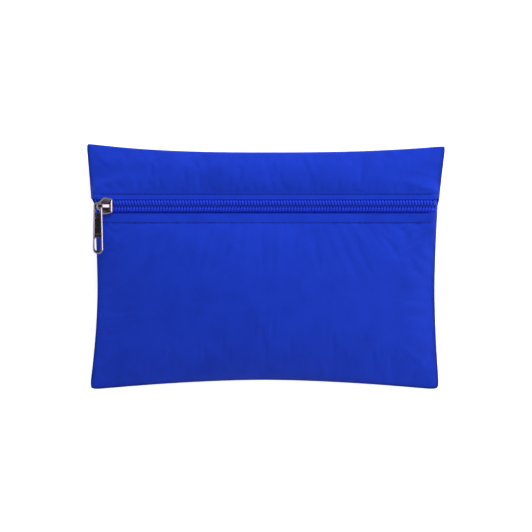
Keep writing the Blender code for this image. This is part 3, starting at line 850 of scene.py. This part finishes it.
def topstitches(panel, line_y, low_x, high_x):
    """A row of lockstitches on the cloth: each rises from its hole, lies down, dives in."""
    tubes = []
    t = np.linspace(0.0, 1.0, 10)
    rise = CLOTH / 2.0 + TOPSTITCH * 0.75 - 0.34 * np.abs(2.0 * t - 1.0) ** 5
    for number in range(-int(STITCH_END_X / STITCH), int(STITCH_END_X / STITCH)):
        start = number * STITCH
        if start >= low_x - 1e-6 and start + STITCH <= high_x + 1e-6:
            x = start + STITCH * (0.06 + 0.88 * t)
            y = line_y + 0.05 * np.sin(number * 2.4) + 0.06 * (t - 0.5)
            z = panel.height_at(x, np.full_like(x, line_y)) + rise
            tubes.append(tube(xyz(x, y, z), TOPSTITCH, 8))
    return tubes


def tape_piece(name, side, low_x, high_x, finish):
    """A zip tape: flat under the coil and the fold, turned down at the side seams."""
    panel = UPPER if side > 0 else LOWER
    x = np.linspace(low_x, high_x, round((high_x - low_x) / 1.2) + 1)
    level = TAPE_TOP_Z - TAPE / 2.0 - end_drop(x)
    lines = []
    for part in np.linspace(0.0, 1.0, 11):
        out = lerp(TAPE_GAP + spread(x), TAPE_SEWN, part)
        lines.append(xyz(x * lerp(1.0, TAPE_SEWN_X, part), ZIP_Y + side * out, level))
    outer_x, outer_y = x * TAPE_OUTER_X, np.full_like(x, ZIP_Y + side * TAPE_REACH)
    outer_z = np.minimum(level, panel.height_at(outer_x, outer_y) - TAPE_UNDER)
    sewn, outer = lines[-1], xyz(outer_x, outer_y, outer_z)
    lines += [lerp(sewn, outer, part) for part in np.linspace(0.0, 1.0, 8)[1:]]
    valid = np.ones((len(lines), len(x)), bool)
    return solid_cloth(name, np.stack(lines), valid, side < 0, (len(x) // 2, 0), (finish,), TAPE)


# ---------------- plates of the slider

def plate(name, outlines, z_low, z_high, edge, finish, turn=None):
    """A plate with rounded edges between two heights, or turned by a matrix.

    Its plan is the first outline less the others.
    """
    curve = bpy.data.curves.new(name, "CURVE")
    curve.dimensions = "2D"
    curve.fill_mode = "BOTH"
    curve.extrude = ((z_high - z_low) / 2.0 - edge) * MM
    curve.bevel_depth = edge * MM
    curve.bevel_resolution = 3
    curve.offset = -edge * MM
    for outline in outlines:
        line = curve.splines.new("POLY")
        line.points.add(len(outline) - 1)
        for point, (x, y) in zip(line.points, outline):
            point.co = (x * MM, y * MM, 0.0, 1.0)
        line.use_cyclic_u = True
    thing = into_scene(name, curve)
    mesh = edited(evaluated(thing), weld)
    bpy.data.objects.remove(thing, do_unlink=True)
    bpy.data.curves.remove(curve)
    mesh.transform(turn or Matrix.Translation((0.0, 0.0, (z_low + z_high) / 2.0 * MM)))
    mesh.shade_smooth()
    mesh.set_sharp_from_angle(angle=math.radians(50.0))
    return place(name, mesh, finish)


def rounded(corners, radii, steps=5):
    """A polygon with its corners turned into arcs, one radius for each."""
    points = []
    for k, (corner, reach) in enumerate(zip(corners, radii)):
        here = np.array(corner)
        before = np.array(corners[k - 1]) - here
        after = np.array(corners[(k + 1) % len(corners)]) - here
        cut = min(reach, 0.48 * np.linalg.norm(before), 0.48 * np.linalg.norm(after))
        start = here + before / np.linalg.norm(before) * cut
        end = here + after / np.linalg.norm(after) * cut
        points += [tuple(lerp(lerp(start, here, t), lerp(here, end, t), t))
                   for t in (step / steps for step in range(steps + 1))]
    return points


def arc(centre_y, reach_x, reach_y, first, steps):
    """Half an ellipse round a point on the y axis, from an angle in half turns."""
    angles = [math.pi * (first + step / steps) for step in range(steps + 1)]
    return [(reach_x * math.cos(a), centre_y + reach_y * math.sin(a)) for a in angles]


def mirrored(half):
    """The outline of a plate from the half of it at positive y."""
    return list(half) + [(x, -y) for x, y in reversed(half)]


def inset_outline(outline, inset):
    """A rounded outline moved inward by a distance."""
    points = np.asarray(outline, float)
    before, after = points - np.roll(points, 1, axis=0), np.roll(points, -1, axis=0) - points
    before /= np.maximum(np.linalg.norm(before, axis=1), 1e-9)[:, None]
    after /= np.maximum(np.linalg.norm(after, axis=1), 1e-9)[:, None]
    along = before + after
    along /= np.linalg.norm(along, axis=1)[:, None]
    x, y = points.T
    area = np.sum(x * np.roll(y, -1) - y * np.roll(x, -1))
    inward = np.column_stack([-along[:, 1], along[:, 0]]) * np.sign(area)
    turn = np.clip(np.sum(before * along, axis=1), 0.7, 1.0)
    return points + inward * (inset / turn)[:, None]


def lofted(name, outline, profile, finish, ring=False):
    """A plate whose edge follows a profile of (inset, height), capped or closed as a ring."""
    rings = [inset_outline(outline, inset) for inset, height in profile]
    points = [(x, y, height) for (inset, height), line in zip(profile, rings) for x, y in line]
    faces = ring_faces(len(outline), len(profile), ring)
    mesh = edited(make_mesh(name, points, faces), face_outwards)
    mesh.set_sharp_from_angle(angle=math.radians(30.0))
    return place(name, mesh, finish)


def on_zip(outline):
    """An outline moved from the slider's own centre to its place on the zip."""
    return [(x + SLIDER_X, y + ZIP_Y) for x, y in outline]


def slot_outline(start, end, half_width):
    """A slot along -y with round ends."""
    return (arc(-start - half_width, half_width, half_width, 0.0, 10)
            + arc(-end + half_width, half_width, half_width, 1.0, 10))


def joined_pieces(name, pieces):
    """Several plates joined into one piece."""
    work = bmesh.new()
    finish = pieces[0].data.materials[0]
    for piece in pieces:
        work.from_mesh(piece.data)
        bpy.data.objects.remove(piece, do_unlink=True)
    mesh = bpy.data.meshes.new(name)
    work.to_mesh(mesh)
    work.free()
    mesh.set_sharp_from_angle(angle=math.radians(50.0))
    return place(name, mesh, finish)


def slider(finish):
    """The slider: crowned top plate, side flanges, wedge and floor."""
    top = mirrored([(SLIDER_REAR, 3.9), (0.2, 4.85), (-0.6, 4.6), (-3.0, 2.3), (SLIDER_NOSE, 1.5)])
    floor = mirrored([(4.3, 3.6), (0.2, 4.4), (-0.6, 4.2), (-2.6, 2.2), (-3.2, 1.6)])
    flange = [(SLIDER_REAR, 3.9), (0.2, 4.85), (-0.4, 4.66), (-0.4, 4.2), (SLIDER_REAR, 3.4)]
    wedge = mirrored([(-1.75, 0.15), (-2.6, 0.75), (-3.6, 1.15), (-4.2, 0.8)])
    radii = [0.4, 0.9, 0.9, 0.8, 0.7]
    radii += radii[::-1]
    edge = [(0.25, 0.0), (0.0, 0.2), (0.0, 0.45), (0.12, 0.68), (0.75, 1.0), (1.15, PLATE)]
    lower_edge = [(0.4, -FLOOR_PLATE), (0.0, -0.6), (0.0, -0.2), (0.2, 0.0)]
    parts = [
        lofted("slider_top", rounded(on_zip(top), radii),
               [(inset, CEILING_Z + height) for inset, height in edge], finish),
        lofted("slider_floor", rounded(on_zip(floor), radii),
               [(inset, FLOOR_TOP_Z + height) for inset, height in lower_edge], finish),
        plate("slider_wedge", [rounded(on_zip(wedge), [0.2] * len(wedge))],
              FLOOR_TOP_Z - 0.3, CEILING_Z + 0.3, 0.05, finish),
    ]
    for side in (1, -1):
        outline = rounded(on_zip([(x, side * y) for x, y in flange]), [0.15] * len(flange))
        parts.append(plate("slider_flange", [outline], FLANGE_FOOT_Z, CEILING_Z + 0.35, 0.12, finish))
    return joined_pieces("slider_plates", parts)


def bail(finish):
    """The bridge that holds the pull's eye: level over its front leg, then down to the rear."""
    roof_z = CEILING_Z + PLATE
    beam_z = roof_z + BAIL_CLEARANCE
    crest_z, low_x, high_x = beam_z + BAIL_BEAM, LEG_X - LEG / 2.0, REAR_LEG_X + LEG / 2.0
    bend_x = SLIDER_X - 1.2
    arch = [(low_x, roof_z - 0.3), (low_x, crest_z), (bend_x, crest_z), (high_x, roof_z + 0.55),
            (high_x, roof_z - 0.3), (high_x - 2.0, roof_z - 0.3), (bend_x - 0.3, beam_z),
            (low_x + LEG, beam_z), (low_x + LEG, roof_z - 0.3)]
    outline = rounded(arch, [0.1, 1.1, 0.8, 0.5, 0.1, 0.1, 0.6, 0.4, 0.1], 6)
    upright = Matrix.Translation((0.0, ZIP_Y * MM, 0.0)) @ Matrix.Rotation(math.pi / 2.0, 4, "X")
    return plate("slider_bridge", [outline], -BAIL_HALF_WIDTH, BAIL_HALF_WIDTH, 0.28, finish, upright)


def pull_outline():
    """The pull, wider towards its round free end, hanging along -y from its pivot."""
    tip = arc(PULL_HEAD - PULL_LENGTH + PULL_TIP_HALF, PULL_TIP_HALF, PULL_TIP_HALF, 1.0, 14)
    return tip + arc(PULL_HEAD - PULL_HEAD_HALF[1], *PULL_HEAD_HALF, 0.0, 14)


def pull(finish):
    """The pull: a raised rim round a flat plate with an eye, a sunk grip and a long hole."""
    half = PULL_THICKNESS / 2.0
    rim = [(0.0, -0.18), (0.0, 0.18), (0.5, half), (0.66, half), (0.8, 0.3)]
    rim += [(inset, -height) for inset, height in rim[:1:-1]]
    outline = pull_outline()
    inner = [tuple(point) for point in inset_outline(outline, 0.6)]
    openings = [slot_outline(-1.25, 4.25, 1.5), slot_outline(6.2, 16.3, 1.8),
                slot_outline(17.4, 25.2, 1.75)]
    piece = joined_pieces("zip_pull", [
        lofted("pull_rim", outline, rim, finish, ring=True),
        plate("pull_plate", [inner] + openings, -0.32, 0.32, 0.08, finish),
        plate("pull_grip", [slot_outline(5.7, 16.8, 2.0)], -0.18, 0.18, 0.05, finish),
    ])
    height = CEILING_Z + PLATE + PULL_LIFT + half
    where = Matrix.Translation(Vector((LEG_X, ZIP_Y, height)) * MM)
    piece.data.transform(where @ Matrix.Rotation(PULL_TILT, 4, "X"))
    return piece


# ---------------- bindings inside

BINDING = 0.35
BINDING_TRIM = 13.0
BINDING_ARC = 7


def seam_curve(side, inset, trim):
    """Points along one side of the seam, inset from its edge."""
    if side in ("bottom", "top"):
        u = np.linspace(-1.0 + trim / HALF_WIDTH, 1.0 - trim / HALF_WIDTH, 110)
        y = bottom_y(u) + inset if side == "bottom" else top_y(u) - inset
        x = BACK.flat(u, (y - bottom_y(u)) / (top_y(u) - bottom_y(u)))[0]
        return xyz(x, y, end_z(u, side == "top"))
    low, high = float(bottom_y(1.0)) + trim, float(top_y(1.0)) - trim
    y = np.linspace(low, high, 80)
    x = side_x(y, side == "right") + (-inset if side == "right" else inset)
    return xyz(x, y, side_z(y))


def binding(side, finish):
    """Woven tape folded over the raw edges of both allowances, a little wavy."""
    profile = [(4.8, 1.3), (6.0, 1.3), (7.4, 1.3), (8.4, 1.28)]
    turn = [math.radians(a) for a in np.linspace(70.0, 0.0, BINDING_ARC)]
    profile += [(8.4 + 0.9 * math.cos(a), 1.28 * math.sin(a)) for a in turn]
    profile += [(inset, -lift) for inset, lift in profile[-2::-1]]
    lines = []
    for inset, lift in profile:
        line = seam_curve(side, inset, BINDING_TRIM)
        line[:, 2] += lift * (1.0 + 0.12 * noise(line[:, 0], line[:, 1] + 7.0 * inset, 6.0, 41))
        lines.append(line)
    valid = np.ones((len(lines), len(line)), bool)
    return solid_cloth(side + "_binding", np.stack(lines), valid, side in ("left", "top"),
                       (len(line) // 2, 0), (finish,), BINDING)


def binding_stitches(side, finish):
    """The stitches that hold the binding down, seen on both of its faces."""
    line = seam_curve(side, 5.7, BINDING_TRIM + 0.6)
    step = np.linalg.norm(np.diff(line, axis=0), axis=1)
    length = np.concatenate([[0.0], np.cumsum(step)])
    t = np.linspace(0.08, 0.92, 7)
    rise = 1.3 + BINDING / 2.0 + 0.16 - 0.22 * np.abs((t - 0.5) / 0.42) ** 5
    tubes = []
    for number in range(int(length[-1] / STITCH)):
        x, y, z = (np.interp((number + t) * STITCH, length, line[:, k]) for k in range(3))
        tubes += [tube(xyz(x, y, z + face * rise), 0.11, 6) for face in (1.0, -1.0)]
    return wire_piece(side + "_binding_stitches", tubes, finish)


# ---------------- materials

class Finish:
    """A Principled material with short calls for the nodes that feed it."""

    def __init__(self, name, roughness, metallic=0.0, **sockets):
        self.made = bpy.data.materials.new(name)
        self.made.use_nodes = True
        self.tree = self.made.node_tree
        self.shader = self.tree.nodes["Principled BSDF"]
        self.shader.inputs["Roughness"].default_value = roughness
        self.shader.inputs["Metallic"].default_value = metallic
        self.fed(**sockets)

    def feed(self, socket, value):
        """Give an input a value, or link it to another node's output."""
        if isinstance(value, bpy.types.NodeSocket):
            self.tree.links.new(value, socket)
        else:
            socket.default_value = value

    def node(self, kind, settings=None, **inputs):
        """A node with its settings and inputs, where an input is a value or a socket."""
        made = self.tree.nodes.new(kind)
        for name, value in (settings or {}).items():
            setattr(made, name, value)
        for key, value in inputs.items():
            self.feed(made.inputs[int(key[1:]) if key[1:].isdigit() else key], value)
        return made

    def math(self, operation, *parts):
        """The result of one piece of arithmetic."""
        inputs = {f"i{k}": part for k, part in enumerate(parts)}
        return self.node("ShaderNodeMath", {"operation": operation}, **inputs).outputs[0]

    def product(self, first, second):
        """Two parts multiplied."""
        return self.math("MULTIPLY", first, second)

    def attribute(self, name):
        """A value that the mesh holds at each point."""
        return self.node("ShaderNodeAttribute", {"attribute_name": name}).outputs["Fac"]

    def cloth_xy(self):
        """The flat cloth's two coordinates, in mm."""
        uv = self.node("ShaderNodeUVMap", {"uv_map": "cloth"}).outputs["UV"]
        parts = self.node("ShaderNodeSeparateXYZ", i0=uv)
        return parts.outputs[0], parts.outputs[1]

    def place(self):
        """The point's place on the object, in metres."""
        return self.node("ShaderNodeTexCoord").outputs["Object"]

    def cloud(self, scale, detail=3.0, roughness=0.55):
        """Soft random blotches, from 0 to 1, scale of them to the metre."""
        made = self.node("ShaderNodeTexNoise", i0=self.place(), Scale=scale, Detail=detail,
                         Roughness=roughness)
        return made.outputs[0]

    def blend(self, factor, first, second):
        """A colour between two colours."""
        made = self.node("ShaderNodeMix", {"data_type": "RGBA"}, i0=factor)
        for number, colour in ((6, first), (7, second)):
            self.feed(made.inputs[number], (*colour, 1.0) if isinstance(colour, tuple) else colour)
        return made.outputs[2]

    def spread(self, value, low, high):
        """A value from 0 to 1 taken to a range."""
        made = self.node("ShaderNodeMapRange", i0=value, i3=low, i4=high)
        return made.outputs[0]

    def bump(self, height, depth_mm, strength=1.0):
        """Relief of a given depth from a height between 0 and 1."""
        made = self.node("ShaderNodeBump", Strength=strength, Distance=depth_mm * MM, Height=height)
        return made.outputs[0]

    def fed(self, **sockets):
        """The finished material, with values or other nodes' outputs fed to its shader."""
        for name, value in sockets.items():
            self.feed(self.shader.inputs[name.replace("_", " ")], value)
        return self.made


def wave(finish, coordinate, period):
    """A sine along a coordinate, both in the same unit."""
    return finish.math("SINE", finish.product(coordinate, 2.0 * math.pi / period))


THREAD = 0.82


def oxford(name, light, dark, roughness, coated):
    """Oxford cloth: basket weave of fine threads, uneven dye, painted shade along its seams, and a
    coated back.
    """
    soft = {"Sheen_Weight": 0.04, "Sheen_Roughness": 0.45, "Specular_IOR_Level": 0.17}
    finish = Finish(name, roughness, **({} if coated else soft))
    x, y = finish.cloth_xy()
    check = finish.product(wave(finish, x, 2.0 * THREAD), wave(finish, y, 2.0 * THREAD))
    over = finish.math("MULTIPLY_ADD", check, 0.5, 0.5)
    ribs = finish.product(wave(finish, x, THREAD / 2.0), wave(finish, y, THREAD / 2.0))
    height = finish.math("ADD", over, finish.product(ribs, 0.16))
    slub = finish.cloud(310.0, 2.0)
    plain = finish.product(over, finish.spread(finish.cloud(70.0, 2.0), 0.10, 1.70))
    uneven = finish.math("ADD", finish.product(finish.cloud(24.0, 4.0), 0.34),
                         finish.product(slub, 0.26))
    tone = finish.spread(finish.math("ADD", plain, uneven), 0.0, 1.0)
    # Painted shade: towards the seams the cloth darkens to half of its dark colour.
    seam = finish.product(finish.attribute("seam"), 0.75)
    seam_painted_shade = tuple(0.5 * part for part in dark)
    return finish.fed(Base_Color=finish.blend(seam, finish.blend(tone, dark, light), seam_painted_shade),
                      Roughness=finish.spread(slub, roughness - 0.06, roughness + 0.08),
                      Normal=finish.bump(height, 0.02 if coated else 0.05, 0.5))


def tape_cloth(name, light, dark):
    """Woven tape: fine herringbone ribs."""
    finish = Finish(name, 0.75, Specular_IOR_Level=0.15)
    x, y = finish.cloth_xy()
    ribs = wave(finish, finish.math("ADD", x, finish.math("PINGPONG", y, 1.4)), 0.62)
    height = finish.math("MULTIPLY_ADD", ribs, 0.5, 0.5)
    tone = finish.math("ADD", finish.product(height, 0.6),
                       finish.product(finish.cloud(160.0), 0.5))
    return finish.fed(Base_Color=finish.blend(finish.spread(tone, 0.0, 1.0), dark, light),
                      Roughness=finish.spread(height, 0.82, 0.68),
                      Normal=finish.bump(height, 0.06, 0.7))


def nylon(name, light, dark):
    """Drawn nylon wire: satin, a little uneven in colour, with painted shade where the coils mesh."""
    finish = Finish(name, 0.45, Specular_IOR_Level=0.22)
    cloud = finish.cloud(420.0, 2.0)
    colour = finish.blend(cloud, dark, light)
    # Painted shade: the nylon darkens to 0.6 of its dark colour where the heads interlock.
    mesh_painted_shade = tuple(0.6 * part for part in dark)
    return finish.fed(Base_Color=finish.blend(finish.attribute("depth"), colour, mesh_painted_shade),
                      Roughness=finish.spread(cloud, 0.40, 0.55),
                      Normal=finish.bump(finish.cloud(1800.0, 2.0), 0.01, 0.4))


def thread(name, light, dark):
    """Twisted sewing thread: slanting plies."""
    finish = Finish(name, 0.6, Specular_IOR_Level=0.2)
    parts = finish.node("ShaderNodeSeparateXYZ", i0=finish.place())
    slant = finish.math("ADD", parts.outputs[0], finish.product(parts.outputs[1], 0.8))
    height = finish.math("MULTIPLY_ADD", wave(finish, slant, 0.32 * MM), 0.5, 0.5)
    return finish.fed(Base_Color=finish.blend(height, dark, light),
                      Roughness=finish.spread(finish.cloud(900.0), 0.5, 0.7),
                      Normal=finish.bump(height, 0.03, 0.6))


def gunmetal(name):
    """Dark plating on cast zinc: polished, faintly pink, finely bumped, with a painted highlight of
    light pink at its sharp edges.
    """
    finish = Finish(name, 0.2, 1.0)
    # Painted highlight: sharp convex edges, found by pointiness, turn light pink.
    edges = finish.node("ShaderNodeNewGeometry").outputs["Pointiness"]
    edge_painted_highlight = finish.node("ShaderNodeMapRange", i0=edges, i1=0.53, i2=0.62).outputs[0]
    base = finish.blend(finish.cloud(260.0, 4.0), (0.34, 0.285, 0.325), (0.44, 0.365, 0.415))
    return finish.fed(Base_Color=finish.blend(edge_painted_highlight, base, (0.80, 0.68, 0.77)),
                      Roughness=finish.spread(finish.cloud(900.0, 5.0), 0.12, 0.28),
                      Normal=finish.bump(finish.cloud(700.0, 3.0), 0.012, 0.25))


def floor_paint(name):
    """Plain pale floor, even and matt."""
    finish = Finish(name, 0.9, Emission_Color=(1.0, 1.0, 1.0, 1.0), Emission_Strength=0.75)
    return finish.fed(Base_Color=finish.blend(finish.cloud(3.0), (0.93,) * 3, (0.96,) * 3))


# ---------------- scene

LAMPS = (("key", (0.20, 0.95, 0.78), 0.6, 8.6), ("softbox", (1.0, 0.1, 0.72), 0.8, 5.2))


def lights_and_camera():
    """Plain studio: a pale tent with an opening overhead, soft lamps, and the camera."""
    world = bpy.data.worlds.new("studio")
    world.use_nodes = True
    nodes, links = world.node_tree.nodes, world.node_tree.links
    way = nodes.new("ShaderNodeTexCoord")
    parts = nodes.new("ShaderNodeSeparateXYZ")
    ramp = nodes.new("ShaderNodeValToRGB")
    links.new(way.outputs["Generated"], parts.inputs[0])
    links.new(parts.outputs[2], ramp.inputs[0])
    links.new(ramp.outputs[0], nodes["Background"].inputs[0])
    for stop, (height, shade) in zip(ramp.color_ramp.elements, ((0.86, 1.0), (0.95, 0.05))):
        stop.position = height
        stop.color = (shade, shade, shade, 1.0)
    nodes["Background"].inputs[1].default_value = 0.45
    scene.world = world
    for name, where, size, power in LAMPS:
        lamp = bpy.data.lights.new(name, "AREA")
        lamp.size = size
        lamp.energy = power
        thing = into_scene(name, lamp)
        thing.location = where
        thing.rotation_euler = (-Vector(where)).to_track_quat("-Z", "Y").to_euler()
        thing.visible_glossy = name != "key"
    low, high = cad_box
    middle = (low + high) / 2.0
    camera = bpy.data.cameras.new("camera")
    camera.lens = 300.0
    camera.sensor_width = 36.0
    camera.clip_start = 0.01
    eye = into_scene("camera", camera)
    distance = FRAME_WIDTH * MM * camera.lens / camera.sensor_width
    eye.location = (middle.x, middle.y, SEAM_HEIGHT * MM + distance)
    scene.camera = eye
    scene.view_settings.view_transform = "Standard"


def floor():
    """A wide pale floor with a gentle sweep up at its far edges."""
    u = np.linspace(-1.0, 1.0, 41)
    x, y = np.meshgrid(u * 1500.0, u * 1500.0)
    rise = np.clip(np.hypot(x, y) - 1200.0, 0.0, None) ** 2 * 0.0002
    points = np.stack([x, y, rise - 0.02], axis=-1)
    faces = grid_faces(np.ones(x.shape, bool), False)
    thing = place("floor", make_mesh("floor", points.reshape(-1, 3), faces), floor_paint("floor"))


BLUE = (0.0095, 0.047, 0.61)
DEEP_BLUE = (0.003, 0.023, 0.36)


def build():
    """Everything on show."""
    cloth = oxford("oxford_cloth", BLUE, DEEP_BLUE, 0.72, False)
    coating = oxford("cloth_coating", (0.020, 0.036, 0.20), (0.012, 0.024, 0.15), 0.42, True)
    bound = tape_cloth("binding", (0.010, 0.030, 0.34), (0.004, 0.014, 0.17))
    sewing = thread("sewing_thread", (0.008, 0.028, 0.42), (0.003, 0.012, 0.22))
    metal = gunmetal("gunmetal")
    fabric((cloth, coating))
    chain(sewing)
    inside(bound, sewing)
    ride_as(joined_pieces("zip_slider", [slider(metal), bail(metal)]), "slider", "gunmetal",
            "slider_body")
    ride_as(pull(metal), "pull", "gunmetal", "pull_tab")


def fabric(finishes):
    """The three panels. The lower one is in two halves, which meet at the mouth's middle."""
    u = columns()
    half_way = steps_in(BACK.span / 2.0, ROLL_INSETS)
    near = [FOLD, 0.9, 1.4]
    upper = near + [1.4 + 0.36 * k for k in range(1, 13)]
    lower = [LOWER.span - d for d in near + [1.4 + 0.4 * k for k in range(1, 15)]]
    rows = {
        LOWER: steps_in(lower[-1] - 0.5, ROLL_INSETS) + lower[::-1],
        UPPER: upper + [UPPER.span - d for d in steps_in(UPPER.span - upper[-1], ROLL_INSETS)[-2::-1]],
        BACK: half_way + [BACK.span - d for d in half_way[-2::-1]],
    }
    wrinkles = {panel: drape(panel) for panel in rows}
    for panel, name, node, length in ((BACK, "back_cloth", "back_panel", 146.0),
                                      (UPPER, "front_upper_cloth", "front_upper_panel", 43.0)):
        piece = cloth_panel(panel, name, u, rows[panel], wrinkles[panel], finishes)
        ride_as(piece, "bag", "oxford_cloth", node)
    for half in HALVES:
        piece = cloth_panel(LOWER, "front_lower_cloth_" + half, within(u, half), rows[LOWER],
                            wrinkles[LOWER], finishes)
        bend_as(piece, half, "oxford_cloth", "front_lower_panel")


def chain(sewing):
    """Tapes, coils, cords and threads. The lower ones are in halves, like the lower panel."""
    woven = tape_cloth("zip_tape", (0.012, 0.058, 0.85), (0.006, 0.036, 0.60))
    nylon_blue = nylon("coil_nylon", (0.018, 0.066, 0.88), (0.012, 0.050, 0.74))
    bright = thread("coil_thread", (0.014, 0.060, 0.86), (0.008, 0.042, 0.66))
    for side, prefix, panel, line_y in ((1, "upper", UPPER, UPPER_STITCH_Y),
                                        (-1, "lower", LOWER, LOWER_STITCH_Y)):
        for half, (low, high) in (HALVES if side < 0 else {"": (-1.0, 1.0)}).items():
            tail = "_" + half if half else ""
            ends = low * COIL_END_X, high * COIL_END_X
            path, radius = coil_path(side, *ends)
            x = np.linspace(*ends, 90)
            cord = xyz(x, ZIP_Y + side * (FILLER_OUT + spread(x)),
                       (COIL_LOW_Z + COIL_HIGH_Z) / 2.0 - end_drop(x))
            wires = (
                ("coil", "_zip_coil", [tube(path, radius, 10, COIL_STRETCH)], nylon_blue),
                ("filler_cord", "_cord", [tube(cord, FILLER, 8)], bright),
                ("coil_stitching", "_coil_stitches", coil_threads(side, *ends), bright),
                ("topstitch", "_topstitches",
                 topstitches(panel, line_y, low * TAPE_END_X, high * TAPE_END_X), sewing),
            )
            made = {"tape": tape_piece(prefix + "_zip_tape" + tail, side, low * TAPE_END_X,
                                       high * TAPE_END_X, woven)}
            for part, name, tubes, finish in wires:
                made[part] = wire_piece(prefix + name + tail, tubes, finish)
            for part, piece in made.items():
                slot = {"tape": "zip_tape", "coil": "coil_nylon"}.get(part, "sewing_thread")
                if half:
                    bend_as(piece, half, slot, prefix + "_" + part)
                else:
                    ride_as(piece, "bag", slot, prefix + "_" + part)


def inside(bound, sewing):
    """Bindings over the seam allowances, with their stitches, and the seams' own thread."""
    for side in ("left", "right", "bottom", "top"):
        ride_as(binding(side, bound), "bag", "binding", side + "_seam_binding")
        ride_as(binding_stitches(side, sewing), "bag", "sewing_thread")
        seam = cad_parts[side + "_seam_stitching"]
        seam.data.materials.clear()
        seam.data.materials.append(sewing)


build()
floor()
lights_and_camera()
